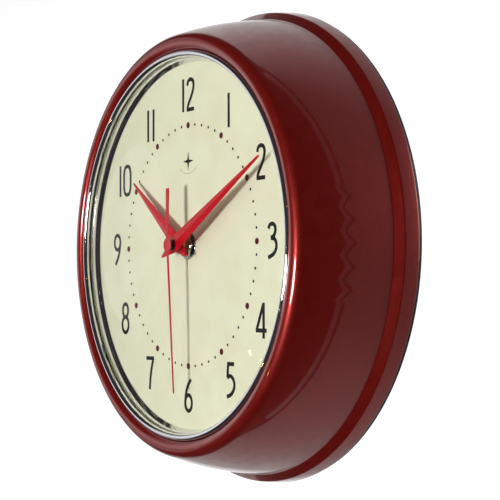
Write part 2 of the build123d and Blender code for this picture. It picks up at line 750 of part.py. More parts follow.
KNOB_DEPTH = 4.0
KNOB_RADIUS = 5.0
KNOB_FLUTES = 18
FLUTE_RADIUS = 0.45
STEM_SOCKET = 3.0  # how far the stem goes into the knob
STEM_BACK = MOVEMENT_BACK - 5.0
SOCKET_FLOOR = STEM_BACK + KNOB_DEPTH - STEM_SOCKET
with BuildPart() as setting_stem:
    add(shaft(STEM_RADIUS, SETTING_AT, SOCKET_FLOOR, WORK_LAYER[1] + 0.9))
    add(
        toothed(
            SETTING_TEETH,
            WORK_MODULE,
            meshed_phase(WORK_TEETH, WORK_PHASE, SETTING_TEETH, SETTING_ANGLE),
            SETTING_AT,
            WORK_LAYER[0] - PINION_OVERLAP,
            WORK_LAYER[1] + PINION_OVERLAP,
        )
    )
finish(setting_stem, "setting_stem")

with BuildPart() as setting_knob:
    with BuildSketch(front_plane(STEM_BACK)):
        with Locations(SETTING_AT):
            Circle(KNOB_RADIUS)
            with PolarLocations(KNOB_RADIUS + 0.1, KNOB_FLUTES):
                Circle(FLUTE_RADIUS, mode=Mode.SUBTRACT)
    extrude(amount=KNOB_DEPTH)
    with BuildSketch(front_plane(SOCKET_FLOOR)):
        with Locations(SETTING_AT):
            Circle(STEM_RADIUS)
    extrude(amount=STEM_SOCKET, mode=Mode.SUBTRACT)
finish(setting_knob, "setting_knob")

# ---------------------------------------------------------------- motor, circuit and cell
STATOR_LAYER = (34.0, 35.2)
COIL_X = 22.6
COIL_LOW, COIL_HIGH = 2.0, 22.5
ROTOR_HOLE = 3.5
POLE_RADIUS = 5.0
ARM_WIDTH = 3.6
ARM_END_RADIUS = 2.4
ARM_OVERHANG = 1.4  # the arms end this far past the coil
with BuildPart() as stator:
    with BuildSketch(front_plane(STATOR_LAYER[0])):
        with Locations(ROTOR_AT):
            Circle(POLE_RADIUS)
        for end in (COIL_LOW - ARM_OVERHANG, COIL_HIGH + ARM_OVERHANG):
            with BuildLine():
                Line(ROTOR_AT, (COIL_X, end))
            trace(line_width=ARM_WIDTH)
            with Locations((COIL_X, end)):
                Circle(ARM_END_RADIUS)
        with Locations(ROTOR_AT):
            Circle(ROTOR_HOLE, mode=Mode.SUBTRACT)
    extrude(amount=STATOR_LAYER[1] - STATOR_LAYER[0])
finish(stator, "stator")

CORE_RADIUS = 1.6
COIL_RADIUS = 3.4
COIL_CENTRE = STATOR_LAYER[1] + COIL_RADIUS
coil_plane = Plane(
    origin=(COIL_X, -COIL_CENTRE, COIL_LOW), x_dir=(1, 0, 0), z_dir=(0, 0, 1)
)
COIL_LENGTH = COIL_HIGH - COIL_LOW
CHEEK = 1.0
with BuildPart() as coil_bobbin:
    with BuildSketch(coil_plane):
        Circle(CORE_RADIUS)
    extrude(amount=COIL_LENGTH)
    with BuildSketch(coil_plane, coil_plane.offset(COIL_LENGTH - CHEEK)):
        Circle(COIL_RADIUS)
    extrude(amount=CHEEK)
finish(coil_bobbin, "coil_bobbin")

with BuildPart() as coil_winding:
    with BuildSketch(coil_plane.offset(CHEEK)):
        Circle(COIL_RADIUS - 0.5)
        Circle(CORE_RADIUS, mode=Mode.SUBTRACT)
    extrude(amount=COIL_LENGTH - 2 * CHEEK)
finish(coil_winding, "coil_winding")

BOARD_LAYER = (COVER_FLOOR + 0.6, COVER_FLOOR + 1.6)
BOARD_SIZE = (15.4, 34.0)
BOARD_CENTRE = (-18.7, 8.0)
with BuildPart() as circuit_board:
    with BuildSketch(front_plane(BOARD_LAYER[0])):
        with Locations(BOARD_CENTRE):
            RectangleRounded(*BOARD_SIZE, 0.8)
    extrude(amount=BOARD_LAYER[1] - BOARD_LAYER[0])
finish(circuit_board, "circuit_board")

CRYSTAL_RADIUS = 1.0
CRYSTAL_LENGTH = 6.2
CRYSTAL_AT = (-22.5, 13.0)
crystal_plane = Plane(
    origin=(CRYSTAL_AT[0], -(BOARD_LAYER[1] + CRYSTAL_RADIUS), CRYSTAL_AT[1]),
    x_dir=(1, 0, 0),
    z_dir=(0, 0, 1),
)
with BuildPart() as quartz_crystal:
    with BuildSketch(crystal_plane):
        Circle(CRYSTAL_RADIUS)
    extrude(amount=CRYSTAL_LENGTH)
    fillet(quartz_crystal.edges().sort_by(Axis.Z)[-1], 0.4)
finish(quartz_crystal, "quartz_crystal")

CHIP_AT = (-19.5, 2.0)
CHIP_RADIUS = 3.2
CHIP_HEIGHT = 1.2
with BuildPart() as driver_chip:
    with BuildSketch(front_plane(BOARD_LAYER[1])):
        with Locations(CHIP_AT):
            Circle(CHIP_RADIUS)
    extrude(amount=CHIP_HEIGHT)
    fillet(driver_chip.edges().sort_by(Axis.Y)[0], 1.0)
finish(driver_chip, "driver_chip")

BATTERY_HEIGHT = MOVEMENT_BACK + BATTERY_RADIUS + 0.2
BATTERY_RIGHT = INNER_SIZE / 2 - 0.5
cell_plane = Plane(
    origin=(BATTERY_RIGHT, -BATTERY_HEIGHT, BATTERY_Z), x_dir=(0, 1, 0), z_dir=(-1, 0, 0)
)
NUB_RADIUS = 2.7
NUB_LENGTH = 1.2
with BuildPart() as battery_cell:
    with BuildSketch(cell_plane):
        Circle(NUB_RADIUS)
    extrude(amount=NUB_LENGTH)
    with BuildSketch(cell_plane.offset(NUB_LENGTH)):
        Circle(BATTERY_RADIUS)
    extrude(amount=BATTERY_LENGTH - NUB_LENGTH)
    fillet(battery_cell.edges().filter_by(GeomType.CIRCLE).sort_by(SortBy.RADIUS)[-2:], 0.7)
finish(battery_cell, "battery_cell")

CONTACT_SHEET = 0.4
CONTACT_SIZE = (11.0, 10.0)
SPRING_RADII = (3.0, 4.0)
with BuildPart() as battery_contact_positive:
    with BuildSketch(Plane.YZ.offset(INNER_SIZE / 2 - CONTACT_SHEET)):
        with Locations((-BATTERY_HEIGHT, BATTERY_Z)):
            RectangleRounded(*CONTACT_SIZE, 1.0)
    extrude(amount=CONTACT_SHEET)
finish(battery_contact_positive, "battery_contact_positive")

# The negative contact is a plate with a low conical spring pressed out of it.
CELL_LEFT = BATTERY_RIGHT - BATTERY_LENGTH
with BuildPart() as battery_contact_negative:
    with BuildSketch(Plane.YZ.offset(-INNER_SIZE / 2)):
        with Locations((-BATTERY_HEIGHT, BATTERY_Z)):
            RectangleRounded(*CONTACT_SIZE, 1.0)
    extrude(amount=CONTACT_SHEET)
    with BuildSketch(Plane.YZ.offset(-INNER_SIZE / 2 + CONTACT_SHEET)):
        with Locations((-BATTERY_HEIGHT, BATTERY_Z)):
            Circle(SPRING_RADII[1])
            Circle(SPRING_RADII[0], mode=Mode.SUBTRACT)
    extrude(amount=CELL_LEFT + INNER_SIZE / 2 - CONTACT_SHEET, taper=20)
finish(battery_contact_negative, "battery_contact_negative")

# ---------------------------------------------------------------- hands


def hand_plane(height, angle):
    """The plane of a hand at its hub, with y along the hand towards its tip."""
    across = (cos(radians(angle)), 0, -sin(radians(angle)))
    return Plane(origin=(0, -height, 0), x_dir=across, z_dir=(0, -1, 0))


def drooped(plane, drop, length):
    """The same plane, tipped about its x so that a point at this length hangs lower by drop."""
    facing = plane.z_dir + plane.y_dir * (drop / length)
    return Plane(origin=plane.origin, x_dir=plane.x_dir, z_dir=facing)


def lance_hand(plane, length, tail, drop, bore, collet):
    """A lance-shaped hand that hangs lower towards its tip, with a collet under its hub."""
    tip = (TIP_HALF_WIDTH, length - 1.2)
    heel = (TAIL_HALF_WIDTH, -tail)
    with BuildPart() as hand:
        with BuildSketch(drooped(plane, drop, length)):
            with BuildLine():
                Polyline(
                    (0, length),
                    (-tip[0], tip[1]),
                    (-HAND_HALF_WIDTH, 0),
                    (-heel[0], heel[1]),
                    heel,
                    (HAND_HALF_WIDTH, 0),
                    tip,
                    close=True,
                )
            make_face()
        extrude(amount=-HAND_THICKNESS)
        with BuildSketch(plane):
            Circle(collet)
        extrude(amount=-HAND_THICKNESS - COLLET_DEPTH)
        with BuildSketch(plane):
            Circle(bore)
        extrude(amount=COLLET_DEPTH + 2 * HAND_THICKNESS, both=True, mode=Mode.SUBTRACT)
    return hand.part


with BuildPart() as hour_hand:
    add(
        lance_hand(
            hand_plane(HOUR_HEIGHT, HOUR_ANGLE),
            HOUR_LENGTH,
            HOUR_TAIL,
            HOUR_DROOP,
            HOUR_TUBE_RADIUS,
            HOUR_COLLET_RADIUS,
        )
    )
finish(hour_hand, "hour_hand")

with BuildPart() as minute_hand:
    add(
        lance_hand(
            hand_plane(MINUTE_HEIGHT, MINUTE_ANGLE),
            MINUTE_LENGTH,
            MINUTE_TAIL,
            MINUTE_DROOP,
            CANNON_RADIUS,
            MINUTE_COLLET_RADIUS,
        )
    )
finish(minute_hand, "minute_hand")

CAP_RADIUS = 2.8
CAP_SEAT = MINUTE_HEIGHT + 0.06  # just clear of the tail, which rises as the tip droops
CAP_TOP = CANNON_TOP + 0.4
CAP_ROUND = 0.5
with BuildPart() as minute_cap:
    add(ring(CANNON_RADIUS, CAP_RADIUS, CAP_SEAT, CANNON_TOP))
    add(ring(ARBOR_RADIUS + 0.1, CAP_RADIUS, CANNON_TOP, CAP_TOP))
    fillet(minute_cap.edges().group_by(Axis.Y)[0].sort_by(SortBy.RADIUS)[-1], CAP_ROUND)
finish(minute_cap, "minute_cap")

with BuildPart() as second_tube:
    add(
        shaft(
            SECOND_TUBE_RADIUS,
            (0, 0),
            SECOND_TUBE_LOW,
            SECOND_TUBE_TOP,
            bore=ARBOR_RADIUS,
        )
    )
finish(second_tube, "second_tube")

HUB_DISC_RADIUS = 3.5
SECOND_THICKNESS = 0.35
HUB_DISC_THICKNESS = SECOND_HEIGHT - SECOND_TUBE_TOP
POINTER_HALF_WIDTHS = (0.75, 0.4)  # at the hub and at the tip
COUNTERWEIGHT_HALF_WIDTHS = (1.2, 1.55)
COUNTERWEIGHT_DROOP = 0.6


def strip(plane, half_widths, start, end):
    """A tapered strip that lies along the plane's y from start to end, under the plane."""
    with BuildPart() as made:
        with BuildSketch(plane):
            with BuildLine():
                Polyline(
                    (-half_widths[0], start),
                    (half_widths[0], start),
                    (half_widths[1], end),
                    (-half_widths[1], end),
                    close=True,
                )
            make_face()
        extrude(amount=-SECOND_THICKNESS)
    return made.part


with BuildPart() as second_hand:
    hub_plane = hand_plane(SECOND_HEIGHT, SECOND_ANGLE)
    with BuildSketch(hub_plane):
        Circle(HUB_DISC_RADIUS)
    extrude(amount=-HUB_DISC_THICKNESS)
    pointer_plane = drooped(hub_plane, SECOND_DROOP, SECOND_LENGTH)
    add(strip(pointer_plane, POINTER_HALF_WIDTHS, 2, SECOND_LENGTH))
    tail_plane = drooped(hub_plane, -COUNTERWEIGHT_DROOP, SECOND_TAIL)
    add(strip(tail_plane, COUNTERWEIGHT_HALF_WIDTHS, -2, -SECOND_TAIL))
finish(second_hand, "second_hand")
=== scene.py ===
"""The looks of a retro wall clock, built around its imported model.

The clock's sizes are in millimetres here, and at() turns them into metres. The frame is the model's
own: Y is the clock's axis, the wall is Y = 0, and a point at a height above the wall has Y = -height.
"""

import json
import math

import bmesh
import bpy
from mathutils import Matrix, Vector


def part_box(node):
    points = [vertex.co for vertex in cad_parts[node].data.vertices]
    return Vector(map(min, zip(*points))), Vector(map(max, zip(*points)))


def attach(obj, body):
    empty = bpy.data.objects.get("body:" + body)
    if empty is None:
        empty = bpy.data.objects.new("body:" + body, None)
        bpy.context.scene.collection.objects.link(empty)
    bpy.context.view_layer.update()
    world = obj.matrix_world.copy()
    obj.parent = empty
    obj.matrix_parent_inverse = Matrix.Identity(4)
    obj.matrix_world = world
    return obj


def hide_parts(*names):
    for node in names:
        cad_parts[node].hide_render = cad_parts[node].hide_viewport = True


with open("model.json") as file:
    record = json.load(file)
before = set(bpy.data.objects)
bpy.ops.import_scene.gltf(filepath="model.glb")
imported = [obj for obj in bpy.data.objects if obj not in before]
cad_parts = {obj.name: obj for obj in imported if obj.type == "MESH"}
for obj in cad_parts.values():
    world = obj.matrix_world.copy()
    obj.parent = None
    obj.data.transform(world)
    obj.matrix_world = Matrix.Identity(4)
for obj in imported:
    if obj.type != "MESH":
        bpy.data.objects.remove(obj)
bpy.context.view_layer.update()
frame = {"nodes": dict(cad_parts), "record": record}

MM = 0.001
SPIN_STEPS, SHELL_STEPS = 288, 360  # points around a turned part, and around a wide one
JOINED = 1e-8  # points closer than this, in metres, are one
SAME = 1e-6  # lengths and angles smaller than this are none


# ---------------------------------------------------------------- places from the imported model
def at(x, z, height):
    """A point on the clock, in metres, from its place on the dial and its height."""
    return Vector((x * MM, -height * MM, z * MM))


def radius_of(node):
    """The outer radius of a CAD node about the clock's axis."""
    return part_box(node)[1].x / MM


def top_of(node):
    """The height of a CAD node's front."""
    return -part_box(node)[0].y / MM


def back_of(node):
    """The height of a CAD node's back."""
    return -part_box(node)[1].y / MM


DIAL = top_of("dial_plate")


# ---------------------------------------------------------------- outlines
CURVE_STEPS = 7  # points from one point of a numeral's stroke to its next


def turned(vector, angle):
    """A flat vector turned anticlockwise by an angle in radians."""
    return Matrix.Rotation(angle, 2) @ vector


def add_tangent_arc(points, direction, end, steps):
    """Adds an arc that leaves the last point in a direction and ends at a point.

    Returns the direction at the end.
    """
    start = points[-1].copy()
    chord = Vector(end) - start
    half = math.atan2(direction.cross(chord), direction.dot(chord))
    if abs(half) < SAME:
        points.append(Vector(end))
        return direction
    radius = chord.length / (2 * math.sin(half))
    for step in range(1, steps + 1):
        part = half * step / steps
        reach = 2 * radius * math.sin(part)
        points.append(start + turned(direction, part).normalized() * reach)
    return turned(direction, 2 * half)


def rounded(corners, radii, steps=5):
    """An open outline with each of its inner corners rounded to a radius."""
    corners = [Vector(corner) for corner in corners]
    points = [corners[0]]
    for before, corner, after, radius in zip(corners, corners[1:], corners[2:], radii):
        to_before = (before - corner).normalized()
        to_after = (after - corner).normalized()
        setback = radius / math.tan(to_before.angle(to_after) / 2)
        points.append(corner + to_before * setback)
        add_tangent_arc(points, -to_before, corner + to_after * setback, steps)
    points.append(corners[-1])
    return points


def sheet(points, thickness):
    """A closed outline: an open one and its copy, set off to its left by a thickness."""
    copies = []
    for before, here, after in zip(
        points[:1] + points[:-1], points, points[1:] + points[-1:]
    ):
        along = (after - before).normalized()
        copies.append(here + Vector((-along.y, along.x)) * thickness)
    return points + copies[::-1]


def smoothed(points):
    """A smooth line through the points, closed where the last one is the first."""
    points = [Vector(point) for point in points]
    if len(points) < 3:
        return points
    closed = (points[0] - points[-1]).length < SAME
    before, after = (points[-2], points[1]) if closed else (points[0], points[-1])
    knots = [before] + points + [after]
    line = []
    for a, b, c, d in zip(knots, knots[1:], knots[2:], knots[3:]):
        square, cube = 2 * a - 5 * b + 4 * c - d, 3 * b - a - 3 * c + d
        for step in range(CURVE_STEPS):
            t = step / CURVE_STEPS
            line.append(0.5 * (2 * b + (c - a) * t + square * t**2 + cube * t**3))
    line.append(points[-1])
    return line


# ---------------------------------------------------------------- meshes
def join_loops(mesh, first, second):
    """Adds the faces between two closed loops of points."""
    for index in range(len(first)):
        following = (index + 1) % len(first)
        mesh.faces.new((first[index], first[following], second[following], second[index]))


def section_at(mesh, outline, angle):
    """Adds the points of a (radius, height) outline that stands at an angle about the axis."""
    along, across = math.cos(angle), math.sin(angle)
    return [mesh.verts.new(at(r * along, r * across, height)) for r, height in outline]


def join_around(mesh, sections):
    """Adds the faces between loops of points that stand all around the axis."""
    for section, following in zip(sections, sections[1:] + sections[:1]):
        join_loops(mesh, section, following)


def close_strip(mesh, sections):
    """Adds the faces of a strip between its sections and over its two ends."""
    for section, following in zip(sections, sections[1:]):
        join_loops(mesh, section, following)
    mesh.faces.new(sections[0])
    mesh.faces.new(sections[-1][::-1])


def spin(mesh, outline, steps=SPIN_STEPS):
    """Adds a closed (radius, height) outline, spun about the clock's axis."""
    angles = [math.tau * step / steps for step in range(steps)]
    join_around(mesh, [section_at(mesh, outline, angle) for angle in angles])
    bmesh.ops.remove_doubles(mesh, verts=mesh.verts, dist=JOINED)


def prism(mesh, outline, low, high):
    """Adds a block over a closed (x, z) outline, between two heights."""
    bottom = [mesh.verts.new(at(x, z, low)) for x, z in outline]
    top = [mesh.verts.new(at(x, z, high)) for x, z in outline]
    mesh.faces.new(bottom[::-1])
    mesh.faces.new(top)
    join_loops(mesh, bottom, top)


def ellipse(x, z, half_width, half_height, steps):
    """The points of an ellipse, as (x, z)."""
    angles = [math.tau * step / steps for step in range(steps)]
    return [(x + half_width * math.cos(a), z + half_height * math.sin(a)) for a in angles]


LEAST_COSINE = 0.5  # so that a stroke is at most twice its own width at a sharp corner


def stroke(mesh, path, width, low, high):
    """Adds a flat stroke of an even width along an (x, z) path."""
    closed = (path[0] - path[-1]).length < SAME
    if closed:
        path = path[:-1]
    sections = []
    count = len(path)
    for index, here in enumerate(path):
        before = path[index - 1] if closed or index else here
        after = path[(index + 1) % count] if closed or index < count - 1 else here
        into = (here - before).normalized() if before != here else None
        out = (after - here).normalized() if after != here else None
        into = into or out
        out = out or into
        along = (into + out).normalized()
        side = Vector((-along.y, along.x)) * width / 2 / max(along.dot(out), LEAST_COSINE)
        left, right = here + side, here - side
        corners = ((left, low), (right, low), (right, high), (left, high))
        sections.append([mesh.verts.new(at(*place, height)) for place, height in corners])
    if closed:
        join_around(mesh, sections)
    else:
        close_strip(mesh, sections)


def new_object(name, data):
    """Adds an object of some data to the scene."""
    made = bpy.data.objects.new(name, data)
    bpy.context.scene.collection.objects.link(made)
    return made


def piece(name, mesh, body, slot, replaces=(), material=None, crease=35):
    """Makes an object of a finished mesh, smooth but for creases, and gives it to a body.

    It has its slot's own finish unless it is given another material.
    """
    bmesh.ops.recalc_face_normals(mesh, faces=mesh.faces)
    data = bpy.data.meshes.new(name)
    mesh.to_mesh(data)
    mesh.free()
    data.shade_smooth()
    data.set_sharp_from_angle(angle=math.radians(crease))
    data.materials.append(material or FINISHES[slot])
    made = new_object(name, data)
    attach(made, body)
    if replaces:
        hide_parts(*replaces)
    return made


def soften(made, width, segments, angle):
    """Bevels a piece's edges where they turn by more than an angle in degrees."""
    bevel = made.modifiers.new("edges", "BEVEL")
    bevel.width = width * MM
    bevel.segments = segments
    bevel.limit_method = "ANGLE"
    bevel.angle_limit = math.radians(angle)


# ---------------------------------------------------------------- materials
def colour(red, green, blue):
    """A colour given as screen values from 0 to 255, for a shader."""
    return tuple((value / 255) ** 2.2 for value in (red, green, blue)) + (1.0,)


def spread(tree, source, start, end, first, last):
    """A value that goes from first to last as its source goes from start to end."""
    made = tree.nodes.new("ShaderNodeMapRange")
    names = ("From Min", "From Max", "To Min", "To Max")
    for name, value in zip(names, (start, end, first, last)):
        made.inputs[name].default_value = value
    tree.links.new(source, made.inputs["Value"])
    return made.outputs["Result"]


DARK, LIGHT = 0.35, 0.65  # the part of a noise texture's range that is put to use


class Finish:
    """A material: one Principled shader, fed by procedural textures."""

    def __init__(self, name, base, roughness, **sockets):
        self.material = bpy.data.materials.new(name)
        self.material.use_nodes = True
        self.tree = self.material.node_tree
        self.shader = self.tree.nodes["Principled BSDF"]
        self.shader.inputs["Base Color"].default_value = base
        self.shader.inputs["Roughness"].default_value = roughness
        for socket, value in sockets.items():
            self.shader.inputs[socket.replace("_", " ")].default_value = value
        self.place = self.node("ShaderNodeTexCoord").outputs["Object"]
        self.last_bump = None

    def node(self, kind, **values):
        """Adds a shader node with the given settings."""
        made = self.tree.nodes.new(kind)
        for key, value in values.items():
            setattr(made, key, value)
        return made

    def link(self, start, end):
        """Links a node's output to another's input."""
        self.tree.links.new(start, end)

    def noise(self, size, detail, stretch=(1, 1, 1)):
        """Noise with features of a size in millimetres, longer along an axis by its stretch."""
        mapping = self.node("ShaderNodeMapping")
        mapping.inputs["Scale"].default_value = [1 / value for value in stretch]
        self.link(self.place, mapping.inputs["Vector"])
        texture = self.node("ShaderNodeTexNoise")
        texture.inputs["Scale"].default_value = 1 / (size * MM)
        texture.inputs["Detail"].default_value = detail
        self.link(mapping.outputs["Vector"], texture.inputs["Vector"])
        return texture.outputs["Fac"]

    def cells(self, size):
        """Round spots of a size in millimetres, dark in their middles."""
        texture = self.node("ShaderNodeTexVoronoi")
        texture.inputs["Scale"].default_value = 1 / (size * MM)
        self.link(self.place, texture.inputs["Vector"])
        return texture.outputs["Distance"]

    def rings(self, size):
        """Fine rings about the clock's axis, as a lathe leaves them."""
        flat = self.node("ShaderNodeVectorMath", operation="MULTIPLY")
        flat.inputs[1].default_value = (1, 0, 1)
        self.link(self.place, flat.inputs[0])
        length = self.node("ShaderNodeVectorMath", operation="LENGTH")
        self.link(flat.outputs["Vector"], length.inputs[0])
        texture = self.node("ShaderNodeTexNoise", noise_dimensions="1D")
        texture.inputs["Scale"].default_value = 1 / (size * MM)
        texture.inputs["Detail"].default_value = 3
        self.link(length.outputs["Value"], texture.inputs["W"])
        return texture.outputs["Fac"]

    def uneven(self, texture, low, high):
        """Drives the roughness from a texture, between two values."""
        value = spread(self.tree, texture, DARK, LIGHT, low, high)
        self.link(value, self.shader.inputs["Roughness"])

    def tinted(self, texture, first, second, dark=DARK, light=LIGHT):
        """Drives the base colour from a texture, between two colours."""
        ramp = self.node("ShaderNodeValToRGB")
        ramp.color_ramp.elements[0].position = dark
        ramp.color_ramp.elements[0].color = first
        ramp.color_ramp.elements[1].position = light
        ramp.color_ramp.elements[1].color = second
        self.link(texture, ramp.inputs["Fac"])
        self.link(ramp.outputs["Color"], self.shader.inputs["Base Color"])

    def bump(self, texture, depth, coat=False):
        """Adds relief of a depth in millimetres, to the clear coat too if coat is true."""
        bump = self.node("ShaderNodeBump")
        bump.inputs["Distance"].default_value = depth * MM
        bump.inputs["Strength"].default_value = 1.0
        self.link(texture, bump.inputs["Height"])
        if self.last_bump:
            self.link(self.last_bump, bump.inputs["Normal"])
        self.last_bump = bump.outputs["Normal"]
        self.link(self.last_bump, self.shader.inputs["Normal"])
        if coat:
            self.link(self.last_bump, self.shader.inputs["Coat Normal"])


def red_enamel():
    """Deep red enamel with a fine metal flake, under a clear gloss with faint orange peel."""
    made = Finish(
        "red enamel",
        colour(138, 22, 11),
        0.36,
        Metallic=0.55,
        Coat_Weight=1.0,
        Coat_Roughness=0.045,
        Coat_IOR=1.5,
    )
    made.tinted(made.noise(0.5, 4), colour(122, 18, 9), colour(154, 27, 14))
    made.uneven(made.noise(6, 3), 0.32, 0.42)
    made.bump(made.noise(2.6, 2), 0.006, coat=True)
    return made.material


def chrome():
    """Bright plating with faint polishing lines."""
    made = Finish("chrome", (0.82, 0.82, 0.86, 1), 0.05, Metallic=1.0)
    made.uneven(made.noise(3, 4), 0.035, 0.09)
    made.bump(made.rings(0.25), 0.0006)
    return made.material


def clear_glass():
    """The lens: clear, with the faint mirror image that glass has. Lamps shine through it."""
    made = Finish("lens glass", (1, 1, 1, 1), 0.02)
    clear = made.node("ShaderNodeBsdfTransparent")
    clear.inputs["Color"].default_value = (0.985, 0.99, 0.985, 1)
    mirror = made.node("ShaderNodeBsdfGlossy")
    mirror.inputs["Roughness"].default_value = 0.02
    fresnel = made.node("ShaderNodeFresnel")
    fresnel.inputs["IOR"].default_value = 1.3
    side = made.node("ShaderNodeNewGeometry")
    outer_only = made.node("ShaderNodeMath", operation="SUBTRACT", use_clamp=True)
    made.link(fresnel.outputs["Fac"], outer_only.inputs[0])
    made.link(side.outputs["Backfacing"], outer_only.inputs[1])
    mix = made.node("ShaderNodeMixShader")
    made.link(outer_only.outputs["Value"], mix.inputs["Fac"])
    made.link(clear.outputs["BSDF"], mix.inputs[1])
    made.link(mirror.outputs["BSDF"], mix.inputs[2])
    output = made.tree.nodes["Material Output"]
    made.link(mix.outputs["Shader"], output.inputs["Surface"])
    made.tree.nodes.remove(made.shader)
    return made.material


def dial_cream():
    """Satin cream lacquer, with the slight mottle of a screen-printed metal dial."""
    made = Finish("dial cream", colour(236, 235, 207), 0.5, Specular_IOR_Level=0.3)
    made.tinted(made.noise(14, 5), colour(233, 232, 203), colour(239, 238, 212))
    made.uneven(made.noise(1.2, 3), 0.44, 0.58)
    made.bump(made.noise(0.35, 3), 0.004)
    return made.material


def ink(name, base):
    """Printing ink: a thin dense film with a slightly uneven sheen."""
    made = Finish(name, base, 0.42, Specular_IOR_Level=0.12)
    made.uneven(made.noise(0.7, 3), 0.34, 0.52)
    made.bump(made.noise(0.2, 2), 0.003)
    return made.material


def hand_lacquer():
    """Red lacquer on stamped metal."""
    made = Finish(
        "hand lacquer", colour(196, 8, 30), 0.38, Specular_IOR_Level=0.3, Coat_Weight=0.15
    )
    made.tinted(made.noise(1.5, 3), colour(190, 6, 26), colour(202, 12, 34))
    made.uneven(made.noise(0.8, 3), 0.32, 0.45)
    made.bump(made.noise(0.5, 3), 0.004)
    return made.material


def black_gloss():
    """Black lacquer with a clear coat."""
    made = Finish("black gloss", (0.012, 0.012, 0.013, 1), 0.2, Coat_Weight=0.6)
    made.uneven(made.noise(0.6, 3), 0.15, 0.32)
    made.bump(made.noise(0.8, 2), 0.004)
    return made.material


def moulded(name, base, grain=0.45, roughness=0.5, depth=0.03):
    """Moulded plastic with a spark-eroded grain."""
    made = Finish(name, base, roughness)
    made.uneven(made.noise(grain * 3, 4), roughness - 0.08, roughness + 0.12)
    made.bump(made.noise(grain, 3), depth)
    made.bump(made.cells(grain * 1.6), depth * 0.5)
    return made.material


def rubber():
    """Dull black rubber, slightly pitted."""
    made = Finish("rubber", (0.018, 0.018, 0.018, 1), 0.75)
    made.uneven(made.noise(1.5, 4), 0.65, 0.85)
    made.bump(made.noise(0.3, 3), 0.02)
    return made.material


def plated_steel(name, base, roughness=0.35):
    """Zinc or nickel plated sheet with rolling marks along X."""
    stretch = (8, 1, 1)
    made = Finish(name, base, roughness, Metallic=1.0)
    made.uneven(made.noise(1.2, 5, stretch), roughness - 0.1, roughness + 0.15)
    made.tinted(made.noise(4, 4), [value * 0.82 for value in base[:3]] + [1], base)
    made.bump(made.noise(0.15, 3, stretch), 0.006)
    return made.material


def turned_metal(name, base, roughness=0.28):
    """Metal from a lathe, with its fine rings."""
    made = Finish(name, base, roughness, Metallic=1.0)
    made.uneven(made.noise(0.9, 3), roughness - 0.08, roughness + 0.12)
    made.bump(made.rings(0.09), 0.004)
    return made.material


def winding():
    """Fine enamelled wire, wound round and round an axis along Z, with painted shade in the grooves
    between its turns.
    """
    made = Finish("winding", (0.58, 0.17, 0.05, 1), 0.3, Metallic=1.0)
    turns = (40, 40, 1)
    # Painted shade and highlight: the colour follows the same noise as the bump, darker in the
    # grooves between turns and lighter on their crests.
    made.tinted(made.noise(0.12, 1, turns), (0.35, 0.09, 0.025, 1), (0.72, 0.26, 0.09, 1))
    made.bump(made.noise(0.12, 1, turns), 0.04)
    return made.material


def solder_mask():
    """Green lacquer over copper tracks that run along Z."""
    made = Finish("solder mask", (0.01, 0.1, 0.035, 1), 0.25)
    tracks = (1, 1, 6)
    made.tinted(made.noise(1.6, 0, tracks), (0.006, 0.07, 0.022, 1), (0.02, 0.16, 0.06, 1))
    made.bump(made.noise(1.6, 0, tracks), 0.02)
    return made.material


COPPER_END = 10 * MM  # where the cell's copper-coloured end starts, along X


def cell_jacket():
    """The cell's printed sleeve: a dark body with a copper-coloured end."""
    made = Finish("cell jacket", (0.02, 0.02, 0.024, 1), 0.22, Metallic=0.6)
    split = made.node("ShaderNodeSeparateXYZ")
    made.link(made.place, split.inputs["Vector"])
    dark, copper = (0.018, 0.019, 0.024, 1), (0.62, 0.3, 0.12, 1)
    made.tinted(split.outputs["X"], dark, copper, COPPER_END - 0.2 * MM, COPPER_END + 0.2 * MM)
    made.uneven(made.noise(2, 4), 0.16, 0.3)
    made.bump(made.noise(1.1, 3), 0.006)
    return made.material


FINISHES = {
    "red_enamel": red_enamel(),
    "chrome": chrome(),
    "lens_glass": clear_glass(),
    "black_rubber": rubber(),
    "white_silicone": moulded("white silicone", (0.62, 0.61, 0.52, 1), 0.4, 0.35, 0.01),
    "cream_dial": dial_cream(),
    "black_plastic": moulded("black plastic", (0.014, 0.014, 0.015, 1)),
    "zinc_steel": plated_steel("zinc steel", (0.6, 0.6, 0.57, 1)),
    "movement_plastic": moulded("movement plastic", (0.02, 0.02, 0.023, 1), 0.3, 0.42, 0.02),
    "brass": turned_metal("brass", (0.62, 0.46, 0.19, 1)),
    "nickel": turned_metal("nickel", (0.42, 0.41, 0.38, 1), 0.2),
    "white_plastic": moulded("white plastic", (0.8, 0.79, 0.73, 1), 0.3, 0.4, 0.01),
    "steel": turned_metal("ground steel", (0.42, 0.42, 0.43, 1)),
    "red_hands": hand_lacquer(),
    "black_lacquer": black_gloss(),
    "copper_wire": winding(),
    "bobbin_plastic": moulded("bobbin plastic", (0.62, 0.55, 0.4, 1), 0.3, 0.45, 0.01),
    "circuit_green": solder_mask(),
    "black_epoxy": moulded("black epoxy", (0.008, 0.008, 0.008, 1), 0.8, 0.22, 0.02),
    "contact_plating": plated_steel("contact plating", (0.66, 0.64, 0.6, 1), 0.25),
    "cell_jacket": cell_jacket(),
}
BLACK_INK = ink("black ink", (0.012, 0.012, 0.013, 1))
MAROON_INK = ink("maroon ink", colour(92, 14, 16))

for part in frame["record"]["subparts"]:
    node_slots = frame["nodes"][part["node"]].data.materials
    node_slots.clear()
    node_slots.append(FINISHES[part["material_slot"]])


